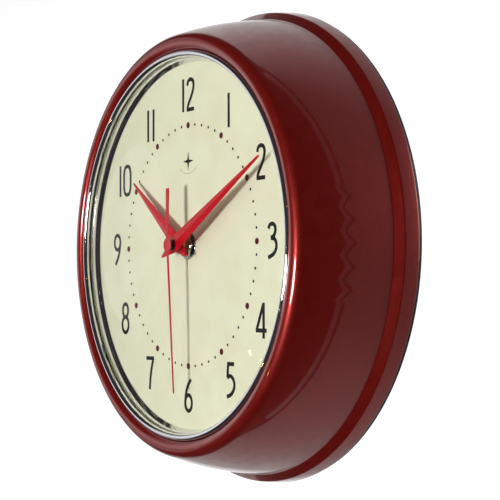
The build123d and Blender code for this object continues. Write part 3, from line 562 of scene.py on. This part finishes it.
# ---------------------------------------------------------------- case, bezel, reflector, lens
CASE_RADIUS = radius_of("case_shell") + 0.15  # the flange's corner, before it is rounded
CASE_BACK = back_of("case_shell")
CREST = (CASE_RADIUS - 21.3, 58.2)  # where the rim starts to curl inwards
LIP_EDGE = (CASE_RADIUS - 24.0, 55.9)
GROOVE_HEIGHT = CASE_BACK + 13.6  # where the bell rises out of the groove behind it
BELL_LEAN = math.radians(7.5)
LOWER_BELL = (CASE_RADIUS - 9.1, 35.0)
UPPER_BELL = (CASE_RADIUS - 15.6, 55.0)
CASE_SHEET = 1.0


def make_case():
    """The spun case: flange, groove and a bell of three tangent arcs, with a rolled lip."""
    points = rounded(
        [
            (CASE_RADIUS - 3.1, CASE_BACK),
            (CASE_RADIUS, CASE_BACK),
            (CASE_RADIUS - 1.2, CASE_BACK + 7.8),
            (CASE_RADIUS - 5.05, CASE_BACK + 11.4),
            (CASE_RADIUS - 5.34, GROOVE_HEIGHT),
        ],
        [0.9, 1.2, 1.2],
    )
    lean = Vector((-math.sin(BELL_LEAN), math.cos(BELL_LEAN)))
    lean = add_tangent_arc(points, lean, LOWER_BELL, 14)
    lean = add_tangent_arc(points, lean, UPPER_BELL, 16)
    lean = add_tangent_arc(points, lean, CREST, 16)
    add_tangent_arc(points, lean, LIP_EDGE, 12)
    mesh = bmesh.new()
    spin(mesh, sheet(points, CASE_SHEET), SHELL_STEPS)
    piece("case_finish", mesh, "root", "red_enamel", ["case_shell"])


BEZEL_EDGE = 92.9  # inner edge of the bezel
BEZEL_SHEET = 0.6
CROWN_HEIGHT = top_of("front_bezel")
CROWN_WIDTH = 3.2


def make_bezel():
    """The chromed bezel: a thin flange under the case's lip and a rolled crown inside it."""
    low = back_of("front_bezel")
    skirt = BEZEL_EDGE + 0.2 + CROWN_WIDTH
    points = rounded(
        [
            (radius_of("front_bezel"), low + BEZEL_SHEET),
            (skirt, low + BEZEL_SHEET),
            (skirt, CROWN_HEIGHT - 1.5),
        ],
        [0.3],
    )
    lean = Vector((-0.05, 1)).normalized()
    lean = add_tangent_arc(points, lean, (skirt - CROWN_WIDTH / 2, CROWN_HEIGHT), 12)
    add_tangent_arc(points, lean, (BEZEL_EDGE + 0.1, CROWN_HEIGHT - 1.5), 12)
    points.append(Vector((BEZEL_EDGE, low + 0.25)))
    mesh = bmesh.new()
    spin(mesh, sheet(points, BEZEL_SHEET), SHELL_STEPS)
    piece("bezel_ring", mesh, "root", "chrome", ["front_bezel"])


DIAL_OPENING = 91.2
REFLECTOR_WALL = 92.7
REFLECTOR_SHEET = 0.6


def make_reflector():
    """The chromed wall between dial and lens: a slope, then an upright under the lens."""
    top = top_of("reflector_ring")
    skirt = radius_of("reflector_ring") - REFLECTOR_SHEET
    points = rounded(
        [
            (DIAL_OPENING, DIAL + 0.02),
            (DIAL_OPENING, DIAL + 0.5),
            (REFLECTOR_WALL, top - 1.8),
            (REFLECTOR_WALL, top),
            (skirt, top),
            (skirt, DIAL - 0.5),
        ],
        [0.3, 0.5, 0.2, 0.8],
    )
    mesh = bmesh.new()
    spin(mesh, sheet(points, -REFLECTOR_SHEET), SHELL_STEPS)
    piece("reflector_wall", mesh, "root", "chrome", ["reflector_ring"])


LENS_THICKNESS = 1.2
DOME_RADIUS, DOME_STEPS = 92.4, 40
DOME_INSET = 0.5  # how much narrower the dome is on its inside


def dome(radius, rim, apex):
    """The points of a dome's section, from its axis out to its rim."""
    rise = apex - rim
    sphere = (radius**2 + rise**2) / (2 * rise)
    edge = math.asin(radius / sphere)
    angles = [edge * step / DOME_STEPS for step in range(DOME_STEPS + 1)]
    middle = apex - sphere
    return [Vector((sphere * math.sin(a), middle + sphere * math.cos(a))) for a in angles]


def make_lens():
    """The domed lens with its flat rim."""
    apex, low, outer = top_of("lens"), back_of("lens"), radius_of("lens")
    rim = low + LENS_THICKNESS
    outline = dome(DOME_RADIUS, rim, apex)
    outline += [Vector((outer, rim)), Vector((outer, low))]
    outline += dome(DOME_RADIUS - DOME_INSET, low, apex - LENS_THICKNESS)[::-1]
    mesh = bmesh.new()
    spin(mesh, outline)
    piece("lens_dome", mesh, "root", "lens_glass", ["lens"])


# ---------------------------------------------------------------- dial
INK_LOW, INK_HIGH = DIAL - 0.02, DIAL + 0.04  # the printing, bedded in the lacquer
INK_OVERLAP = 0.004  # how much higher a digit's next stroke is, where it crosses the last
MINUTE_RING = 60.0
MINUTE_DOT, HOUR_DOT = 0.7, 1.55  # radii
NUMERAL_STROKE = 1.95
NUMERAL_RADIUS = 73.3
NUMERAL_SHIFTS = {3: -1.1, 9: -1.1, 12: 2.0, 5: 1.8, 6: 1.2, 7: 1.6}  # outwards


def bowl(x, z, half_width, half_height):
    """A digit's oval stroke, whose last point is its first one again."""
    points = ellipse(x, z, half_width, half_height, 12)
    return points + points[:1]


def turned_over(points):
    """Points after half a turn about the digit's middle."""
    return [(-x, -z) for x, z in points]


OVAL_SIDE = [(3.5, 0), (3.5, 3.6), (2.3, 6.8), (0, 7.6), (-2.3, 6.8), (-3.5, 3.6), (-3.5, 0)]
# Each digit is a list of strokes through (x, z) points about its middle.
DIGITS = {
    "0": [OVAL_SIDE + turned_over(OVAL_SIDE)[1:]],
    "1": [[(0, -8.3), (0, 8.3)]],
    "2": [
        [(-2.9, 4.6), (-2.2, 6.6), (0, 7.5), (2.3, 6.5), (2.9, 4.1), (2.0, 1.0)]
        + [(0, -2.2), (-2.0, -5.0), (-2.8, -7.5)],
        [(-3.6, -7.5), (3.4, -7.5)],
    ],
    "3": [
        [(-2.9, 5.3), (-1.8, 7.0), (0.3, 7.5), (2.3, 6.3), (2.5, 4.0), (1.2, 1.9), (-1, 1.1)],
        [(-1, 1.1), (1.9, 0.5), (3.3, -1.6), (3.0, -4.2), (0.9, -6.4), (-3.2, -7.9)],
    ],
    "4": [[(1.8, 8.1), (-3.9, -4.6)], [(-4.6, -4.6), (4.2, -4.6)], [(1.8, 8.2), (1.8, -8.3)]],
    "5": [
        [(3.3, 7.5), (-2.7, 7.5)],
        [(-1.8, 7.5), (-2.4, 1.0)],
        [(-2.6, 0.9), (-0.4, 1.8), (2.0, 0.9), (3.4, -1.6), (2.9, -4.5), (0.6, -6.9), (-3, -8.2)],
    ],
    "6": [bowl(0.1, -3.7, 3.1, 3.9), [(2.4, 8.1), (-0.4, 4.9), (-2.3, 0.9), (-3.0, -3.6)]],
    "7": [[(-4, 7.6), (3.9, 7.6)], [(3.3, 7.6), (1.7, 3.2), (0.4, -2.2), (-0.3, -8.5)]],
    "8": [bowl(0, 3.9, 2.8, 3.5), bowl(0, -3.7, 3.3, 4.1)],
    "9": [bowl(-0.1, 3.8, 3.1, 3.9), [(3.0, 3.6), (2.5, 0.2), (0.9, -4.0), (-2.1, -8.1)]],
}
# How far the digits of a two-digit numeral stand left and right of its middle.
PAIR_PLACES = {10: (-5.6, 1.9), 11: (-2.8, 2.7), 12: (-4.7, 2.2)}


def make_numerals():
    """The twelve upright numerals, printed in black."""
    mesh = bmesh.new()
    for hour in range(1, 13):
        radius = NUMERAL_RADIUS + NUMERAL_SHIFTS.get(hour, 0)
        angle = math.radians(30 * hour)
        middle = Vector((radius * math.sin(angle), radius * math.cos(angle)))
        for digit, shift in zip(str(hour), PAIR_PLACES.get(hour, (0,))):
            for layer, points in enumerate(DIGITS[digit]):
                path = [middle + Vector((shift, 0)) + point for point in smoothed(points)]
                top = INK_HIGH + layer * INK_OVERLAP
                stroke(mesh, path, NUMERAL_STROKE, INK_LOW, top)
    piece("dial_numerals", mesh, "root", "cream_dial", material=BLACK_INK)


def make_dots():
    """The ring of minute dots, with larger maroon dots at the hours."""
    minutes, hours = bmesh.new(), bmesh.new()
    for minute in range(60):
        angle = math.radians(6 * minute)
        x, z = MINUTE_RING * math.sin(angle), MINUTE_RING * math.cos(angle)
        if minute % 5:
            prism(minutes, ellipse(x, z, MINUTE_DOT, MINUTE_DOT, 20), INK_LOW, INK_HIGH)
        else:
            prism(hours, ellipse(x, z, HOUR_DOT, HOUR_DOT, 28), INK_LOW, INK_HIGH)
    piece("minute_dots", minutes, "root", "cream_dial", material=BLACK_INK)
    piece("hour_dots", hours, "root", "cream_dial", material=MAROON_INK)


ORNAMENT_AT = 42.0
STAR_POINT, STAR_WAIST = 5.0, 1.15
FINE_DOT, FINE_ARC = 0.28, 11.5  # radii of the dots under the star and of their arc
FINE_ARC_RISE = 5.3  # how far that arc's centre is above the star's


def make_ornament():
    """A plain four-pointed star over an arc of fine dots."""
    mesh = bmesh.new()
    star = []
    for corner in range(8):
        radius = STAR_WAIST if corner % 2 else STAR_POINT
        angle = math.radians(45 * corner)
        star.append((radius * math.sin(angle), ORNAMENT_AT + radius * math.cos(angle)))
    prism(mesh, star[::-1], INK_LOW, INK_HIGH)
    for dot in range(-4, 5):
        angle = math.radians(9 * dot)
        x = FINE_ARC * math.sin(angle)
        z = ORNAMENT_AT + FINE_ARC_RISE - FINE_ARC * math.cos(angle)
        prism(mesh, ellipse(x, z, FINE_DOT, FINE_DOT, 10), INK_LOW, INK_HIGH)
    piece("dial_ornament", mesh, "root", "cream_dial", material=BLACK_INK)


def make_dial():
    """The dial's printed metal disc, with its edges broken on the front."""
    back, outer = back_of("dial_plate"), radius_of("dial_plate")
    hole = radius_of("threaded_bush") + 0.1
    edge = 0.15
    outline = [
        (hole, back),
        (outer, back),
        (outer, DIAL - edge),
        (outer - edge, DIAL),
        (hole + edge, DIAL),
        (hole, DIAL - edge),
    ]
    mesh = bmesh.new()
    spin(mesh, outline)
    piece("dial_face", mesh, "root", "cream_dial", ["dial_plate"])


# ---------------------------------------------------------------- hands
HUB_HEIGHTS = {"hour_hand": 5.9, "minute_hand": 8.8, "second_hand": 12.4}  # above the dial
LANCE_HALF_WIDTH = 4.2
LANCE_RIDGE = 0.75
LANCE_THICKNESS = 0.35
LANCE_CREASE = 5  # degrees, low enough to keep the pressed ridge sharp
TIP_HALF_WIDTH, TAIL_HALF_WIDTH = 0.55, 0.5
COLLETS = {"hour_hand": (3.4, 2.5), "minute_hand": (2.6, 1.5)}  # outer radius and bore
COLLET_DEPTH = 1.2


class Hand:
    """A hand's own directions, read from its CAD node: along, across and forwards."""

    def __init__(self, node):
        corners = [vertex.co / MM for vertex in frame["nodes"][node].data.vertices]
        tip = max(corners, key=lambda corner: corner.x**2 + corner.z**2)
        self.hub = DIAL + HUB_HEIGHTS[node]
        flat = Vector((tip.x, 0, tip.z))
        self.length = flat.length
        self.direction = flat.normalized()
        self.across = self.direction.cross(Vector((0, 1, 0)))
        self.tail = -min(corner.dot(self.direction) for corner in corners)
        self.droop = self.hub + tip.y

    def point(self, along, across, up, droop):
        """A point on the hand, in metres. It hangs lower by droop at the hand's tip."""
        slope = droop / self.length
        place = self.direction * along + self.across * across
        place.y = -(self.hub - slope * along + up)
        return place * MM

    def section(self, mesh, along, corners, droop):
        """Adds the points of a section through the hand, from its (across, up) corners."""
        return [mesh.verts.new(self.point(along, *corner, droop)) for corner in corners]


def make_lance(node):
    """A lance-shaped hand, pressed to a ridge along its middle."""
    hand = Hand(node)
    body = node + "_body"
    mesh = bmesh.new()
    stations = [
        (-hand.tail, TAIL_HALF_WIDTH, 0.12),
        (0, LANCE_HALF_WIDTH, LANCE_RIDGE),
        (hand.length - 1.2, TIP_HALF_WIDTH, 0.14),
        (hand.length, 0.08, 0.02),
    ]
    sections = []
    for along, half, ridge in stations:
        corners = [(-half, 0), (0, ridge), (half, 0)]
        corners += [(half, -LANCE_THICKNESS), (-half, -LANCE_THICKNESS)]
        sections.append(hand.section(mesh, along, corners, hand.droop))
    close_strip(mesh, sections)
    made = piece(node + "_lance", mesh, body, "red_hands", [node], crease=LANCE_CREASE)
    soften(made, 0.12, 2, LANCE_CREASE)


def make_collet(node):
    """The flanged collet riveted through a hand's hub."""
    radius, bore = COLLETS[node]
    top = DIAL + HUB_HEIGHTS[node]
    low = top - COLLET_DEPTH
    corners = [(bore, top), (radius, top), (radius, low), (bore, low)]
    mesh = bmesh.new()
    spin(mesh, rounded(corners, [0.15, 0.15], 3), 64)
    piece(node.replace("hand", "collet"), mesh, node + "_body", "red_hands")


SECOND_THICKNESS, SECOND_BEVEL = 0.35, 0.1
POINTER_HALF_WIDTHS = (0.85, 0.5)
COUNTERWEIGHT_HALF_WIDTHS = (1.2, 1.55)
COUNTERWEIGHT_DROOP = 0.6
STRIP_START = 2.0  # how far from the axis the pointer and the counterweight start
HUB_DISC = 3.5  # radius


def make_second_hand():
    """The second hand: a fine pointer and a flared counterweight under a domed hub disc."""
    hand = Hand("second_hand")
    mesh = bmesh.new()
    tail_droop = -COUNTERWEIGHT_DROOP * hand.length / hand.tail
    strips = [
        ((STRIP_START, hand.length), POINTER_HALF_WIDTHS, hand.droop),
        ((-STRIP_START, -hand.tail), COUNTERWEIGHT_HALF_WIDTHS, tail_droop),
    ]
    for ends, half_widths, droop in strips:
        sections = []
        for along, half in zip(ends, half_widths):
            corners = [(-half, -SECOND_BEVEL), (-half * 0.55, 0), (half * 0.55, 0)]
            corners += [(half, -SECOND_BEVEL), (half, -SECOND_THICKNESS)]
            corners.append((-half, -SECOND_THICKNESS))
            sections.append(hand.section(mesh, along, corners, droop))
        close_strip(mesh, sections)
    outline = [Vector((0, hand.hub - 0.3)), Vector((HUB_DISC, hand.hub - 0.3))]
    outline.append(Vector((HUB_DISC, hand.hub - 0.16)))
    add_tangent_arc(outline, Vector((-0.3, 1)).normalized(), (HUB_DISC - 0.35, hand.hub), 4)
    outline.append(Vector((0, hand.hub + 0.05)))
    spin(mesh, outline, 96)
    made = piece(
        "second_pointer", mesh, "second_hand_body", "red_hands", ["second_hand"], crease=25
    )
    soften(made, 0.05, 1, 30)


def make_cap():
    """The black cap that is pressed over the end of the minute hand's tube."""
    low, top, outer = back_of("minute_cap"), top_of("minute_cap"), radius_of("minute_cap")
    bore = 0.6
    corners = [(bore, low), (outer, low), (outer, top), (bore, top - 0.02)]
    outline = rounded(corners, [0.12, 0.55], 6)
    outline.append(Vector((bore + 0.25, top - 0.3)))
    mesh = bmesh.new()
    spin(mesh, outline, 96)
    piece("minute_cap_dome", mesh, "minute_hand_body", "black_lacquer", ["minute_cap"])


# ---------------------------------------------------------------- centre fixing
NUT_STEPS, NUT_CORNERS = 144, 6
NUT_BEVEL = math.radians(32)
THREAD_PITCH, THREAD_DEPTH = 0.75, 0.4
THREAD_STEPS, THREAD_LEVELS = 72, 6  # points around the bush, and in the height of one turn
BUSH_BORE, BUSH_NOSE = 2.56, 0.5
WASHER_BORE = 4.1


def make_nut():
    """The hex nut, with the curved bevels that a cone turns on its corners."""
    low, top = back_of("hex_nut"), top_of("hex_nut")
    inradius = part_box("hex_nut")[1].z / MM
    bore = radius_of("threaded_bush")
    mesh = bmesh.new()
    sections = []
    for step in range(NUT_STEPS):
        angle = math.tau * step / NUT_STEPS
        corner = (angle + math.pi / NUT_CORNERS + math.pi / 2) % (math.tau / NUT_CORNERS)
        flat = inradius / math.cos(corner - math.pi / NUT_CORNERS)
        bevel = (flat - inradius) * math.tan(NUT_BEVEL) + 0.02
        outline = [
            (bore, low),
            (inradius, low),
            (flat, low + bevel),
            (flat, top - bevel),
            (inradius, top),
            (bore + 0.45, top),
            (bore, top - 0.35),
        ]
        sections.append(section_at(mesh, outline, angle))
    join_around(mesh, sections)
    piece("nut_hex", mesh, "root", "nickel", ["hex_nut"], crease=22)


def make_bush():
    """The brass bush, with its screw thread."""
    low, top = back_of("threaded_bush"), top_of("threaded_bush")
    outer = radius_of("threaded_bush")
    levels = int((top - low) / THREAD_PITCH * THREAD_LEVELS)
    mesh = bmesh.new()
    sections = []
    for step in range(THREAD_STEPS):
        outline = [(BUSH_BORE, top), (BUSH_BORE, low)]
        for level in range(levels + 1):
            height = low + (top - low) * level / levels
            turn = (height / THREAD_PITCH - step / THREAD_STEPS) % 1
            groove = THREAD_DEPTH * abs(2 * turn - 1)
            nose = max(0.0, BUSH_NOSE - (top - height))
            outline.append((outer - max(groove, nose), height))
        sections.append(section_at(mesh, outline, math.tau * step / THREAD_STEPS))
    join_around(mesh, sections)
    piece("bush_thread", mesh, "root", "brass", ["threaded_bush"], crease=40)


def make_washer():
    """The thin washer under the nut."""
    low, top, outer = back_of("dial_washer"), top_of("dial_washer"), radius_of("dial_washer")
    corners = [(WASHER_BORE, low), (outer, low), (outer, top), (WASHER_BORE, top)]
    mesh = bmesh.new()
    spin(mesh, rounded(corners, [0.1, 0.2], 4), 128)
    piece("washer_ring", mesh, "root", "nickel", ["dial_washer"])


make_case()
make_bezel()
make_reflector()
make_lens()
make_dial()
make_numerals()
make_dots()
make_ornament()
for make_part in (make_lance, make_collet):
    for hand_name in COLLETS:
        make_part(hand_name)
make_second_hand()
make_cap()
make_nut()
make_bush()
make_washer()


# ---------------------------------------------------------------- stage
# The stage's and the lights' sizes are in metres.
FLOOR_Z = -2.2
SCREEN_Y = 2.2
SCREEN_REACH = (11.2, 16.0)  # half width and half height of the screen behind the clock
SCREEN_WEST = -15.0
EDGE_STEPS = 720
HEM = (1.13, 1.42)  # inner and outer edge of a narrow strip around it, as parts of its reach
TOOTH, TOOTH_DEPTH, TEETH = math.radians(7.6), 0.17, 2.5  # pinked edge; teeth up and down
# The screen's glow is painted light: its emission is white left of the seam, grey to its right, and
# falls off in its far parts.
SEAM_X = -1.75  # the screen's near part is white to the left of this and grey to its right
SCREEN_GREY, SCREEN_WHITE, SCREEN_FAR_WHITE = 0.21, 1.0, 0.7
SCREEN_NEAR, SCREEN_FAR = 1.1, 2.2  # heights where the near part ends and the far part starts
FALL_OFF = (-4.5, 2.6)  # where the light on the far parts starts and stops to fall off


def plain_material(name, base, emission):
    """A matt material with a glow of its own."""
    made = bpy.data.materials.new(name)
    made.use_nodes = True
    shader = made.node_tree.nodes["Principled BSDF"]
    shader.inputs["Base Color"].default_value = base
    shader.inputs["Roughness"].default_value = 0.9
    shader.inputs["Emission Color"].default_value = (1, 1, 1, 1)
    shader.inputs["Emission Strength"].default_value = emission
    return made


def screen_material():
    """A glowing screen with painted light on it: brighter on the left, as if lit from there, and
    falling off slowly in its far parts.
    """
    made = plain_material("screen", (0.3, 0.3, 0.3, 1), 1.0)
    tree = made.node_tree
    place = tree.nodes.new("ShaderNodeTexCoord")
    split = tree.nodes.new("ShaderNodeSeparateXYZ")
    tree.links.new(place.outputs["Object"], split.inputs["Vector"])
    height = tree.nodes.new("ShaderNodeMath")
    height.operation = "ABSOLUTE"
    tree.links.new(split.outputs["Z"], height.inputs[0])
    across = split.outputs["X"]
    # Painted light: the glow is white left of the seam and grey to its right, and fades towards the
    # grey in the far parts.
    far = spread(tree, height.outputs["Value"], SCREEN_NEAR, SCREEN_FAR, 0.0, 1.0)
    near_light = spread(tree, across, SEAM_X - 0.005, SEAM_X, SCREEN_WHITE, SCREEN_GREY)
    far_light = spread(tree, across, *FALL_OFF, SCREEN_FAR_WHITE, SCREEN_GREY)
    mix = tree.nodes.new("ShaderNodeMix")
    tree.links.new(far, mix.inputs["Factor"])
    tree.links.new(near_light, mix.inputs["A"])
    tree.links.new(far_light, mix.inputs["B"])
    shader = tree.nodes["Principled BSDF"]
    tree.links.new(mix.outputs["Result"], shader.inputs["Emission Strength"])
    return made


def stage_piece(name, corners, faces, material):
    """A part of the stage, which isn't part of the clock."""
    data = bpy.data.meshes.new(name)
    data.from_pydata(corners, [], faces)
    data.materials.append(material)
    new_object(name, data)


def stage_plane(name, corners, material):
    """A flat part of the stage, with a single face."""
    stage_piece(name, corners, [list(range(len(corners)))], material)


def screen_edge(angle, reach):
    """A point on an oval around the screen, at an angle from straight up.

    Its right-hand side is pinked. Below the floor's height the point is on the floor instead, where
    it is in line with the clock.
    """
    rise = math.pi / 2 - angle
    if abs(rise) < TEETH * TOOTH:
        reach *= 1 + TOOTH_DEPTH * (1 - 4 * abs((rise / TOOTH) % 1 - 0.5))
    point = Vector(
        (SCREEN_REACH[0] * math.sin(angle), SCREEN_Y / reach, SCREEN_REACH[1] * math.cos(angle))
    )
    return point * min(reach, FLOOR_Z / point.z if point.z < 0 else reach)


def make_stage():
    """An oval screen behind the clock, a strip around it, and a pale floor that meets it."""
    floor_material = plain_material("floor", (0.8, 0.8, 0.8, 1), 0.13)
    screen = screen_material()
    angles = [math.pi * step / EDGE_STEPS for step in range(EDGE_STEPS + 1)]
    edge = [screen_edge(angle, 1.0) for angle in angles]
    upright = [point for point in edge if point.z > FLOOR_Z + MM]
    lying = [point for point in edge if point.z <= FLOOR_Z + MM]
    half_width = SCREEN_REACH[0] * math.sqrt(1 - (FLOOR_Z / SCREEN_REACH[1]) ** 2)
    east_corner, west_corner = (
        Vector((side, SCREEN_Y, FLOOR_Z)) for side in (half_width, SCREEN_WEST)
    )
    west_top = Vector((SCREEN_WEST, SCREEN_Y, SCREEN_REACH[1]))
    west_front = Vector((SCREEN_WEST, lying[-1].y, FLOOR_Z))
    stage_plane("screen", [west_corner, west_top] + upright + [east_corner], screen)
    stage_plane("floor", [west_corner, east_corner] + lying + [west_front], floor_material)
    corners = [screen_edge(angle, reach) for reach in HEM for angle in angles]
    count = len(angles)
    faces = [(i, i + 1, i + 1 + count, i + count) for i in range(EDGE_STEPS)]
    stage_piece("screen_hem", corners, faces, screen)


# ---------------------------------------------------------------- lights
DIAL_CENTRE = at(0, 0, DIAL)
TOWARDS_KEY = Vector((0.137, -1.0, -0.163))
# Each soft box's place, width and height, and its power in watts.
SOFT_BOXES = {
    "key": (DIAL_CENTRE + TOWARDS_KEY * 1.6, 0.38, 0.38, 19.5),
    "left_fill": ((-2.3, -0.95, 0.15), 1.7, 1.1, 2.1),
    "tall_fill": ((-2.4, -1.0, 0.15), 1.8, 2.9, 4.9),
    "back_fill": ((1.1, 1.7, 0.5), 1.4, 1.4, 14),
    "front_fill": ((0.3, -2.4, 1.0), 2.4, 2.4, 17),
}
FRONT_TINT = (1, 0.97, 0.8)
LAMPS = {"lamp_high": (1.3, -1.6, 0.56), "lamp_low": (-0.95, -1.9, -0.75)}
LAMP_POWER, LAMP_RADIUS, LAMP_TINT = 1.6, 0.02, (1.0, 0.55, 0.16)


def soft_box(name, place, width, height, power):
    """An oval light at a place, turned towards the dial."""
    data = bpy.data.lights.new(name, "AREA")
    data.shape = "ELLIPSE"
    data.size, data.size_y = width, height
    data.energy = power
    made = new_object(name, data)
    made.location = place
    made.rotation_euler = (DIAL_CENTRE - Vector(place)).to_track_quat("-Z", "Y").to_euler()
    return made


def small_lamp(name, place):
    """A small warm lamp, for the sparkle on the chrome."""
    data = bpy.data.lights.new(name, "POINT")
    data.energy = LAMP_POWER
    data.color = LAMP_TINT
    data.shadow_soft_size = LAMP_RADIUS
    new_object(name, data).location = place


def spare_lens(light):
    """Keeps a light's reflection off the lens. The light still shines through it."""
    spared = bpy.data.collections.new(light.name + "_spares")
    spared.objects.link(bpy.data.objects["lens_dome"])
    spared.collection_objects[0].light_linking.link_state = "EXCLUDE"
    light.light_linking.receiver_collection = spared


def make_lights():
    """A small key light nearly in front of the dial, four soft fills and two warm lamps."""
    boxes = {name: soft_box(name, *values) for name, values in SOFT_BOXES.items()}
    spare_lens(boxes["key"])
    spare_lens(boxes["tall_fill"])
    boxes["front_fill"].data.color = FRONT_TINT
    boxes["front_fill"].visible_glossy = False
    for name, place in LAMPS.items():
        small_lamp(name, place)


def make_room():
    """The room around the stage: dim, but pale to the camera itself."""
    world = bpy.data.worlds.new("studio")
    world.use_nodes = True
    bpy.context.scene.world = world
    tree = world.node_tree
    room = tree.nodes["Background"]
    room.inputs["Color"].default_value = (0.03, 0.03, 0.034, 1)
    pale = tree.nodes.new("ShaderNodeBackground")
    pale.inputs["Color"].default_value = (0.95, 0.95, 0.95, 1)
    rays = tree.nodes.new("ShaderNodeLightPath")
    mix = tree.nodes.new("ShaderNodeMixShader")
    tree.links.new(rays.outputs["Is Camera Ray"], mix.inputs["Fac"])
    tree.links.new(room.outputs["Background"], mix.inputs[1])
    tree.links.new(pale.outputs["Background"], mix.inputs[2])
    tree.links.new(mix.outputs["Shader"], tree.nodes["World Output"].inputs["Surface"])


# ---------------------------------------------------------------- camera
CAMERA_AZIMUTH, CAMERA_ELEVATION, CAMERA_ROLL = 55.6, -2.0, -0.15
CAMERA_DISTANCE = 696.0
CAMERA_RIGHT, CAMERA_UP = 30.7, -2.4  # where the view's middle is, from the dial's centre
CAMERA_LENS, CAMERA_SENSOR = 100.7, 36  # focal length and the sensor's width


def make_camera():
    """The camera, to the right of the clock and a little below its centre."""
    azimuth, elevation = math.radians(CAMERA_AZIMUTH), math.radians(CAMERA_ELEVATION)
    back = Vector(
        (
            math.sin(azimuth) * math.cos(elevation),
            -math.cos(azimuth) * math.cos(elevation),
            math.sin(elevation),
        )
    )
    right = Vector((math.cos(azimuth), math.sin(azimuth), 0))
    up = back.cross(right)
    offset = back * CAMERA_DISTANCE + right * CAMERA_RIGHT + up * CAMERA_UP
    data = bpy.data.cameras.new("camera")
    data.lens = CAMERA_LENS
    data.sensor_width = CAMERA_SENSOR
    camera = new_object("camera", data)
    turn = Matrix((right, up, back)).transposed()
    turn = turn @ Matrix.Rotation(math.radians(CAMERA_ROLL), 3, "Z")
    camera.matrix_world = Matrix.Translation(DIAL_CENTRE + offset * MM) @ turn.to_4x4()
    bpy.context.scene.camera = camera


make_stage()
make_lights()
make_room()
make_camera()
bpy.context.scene.view_settings.view_transform = "Standard"
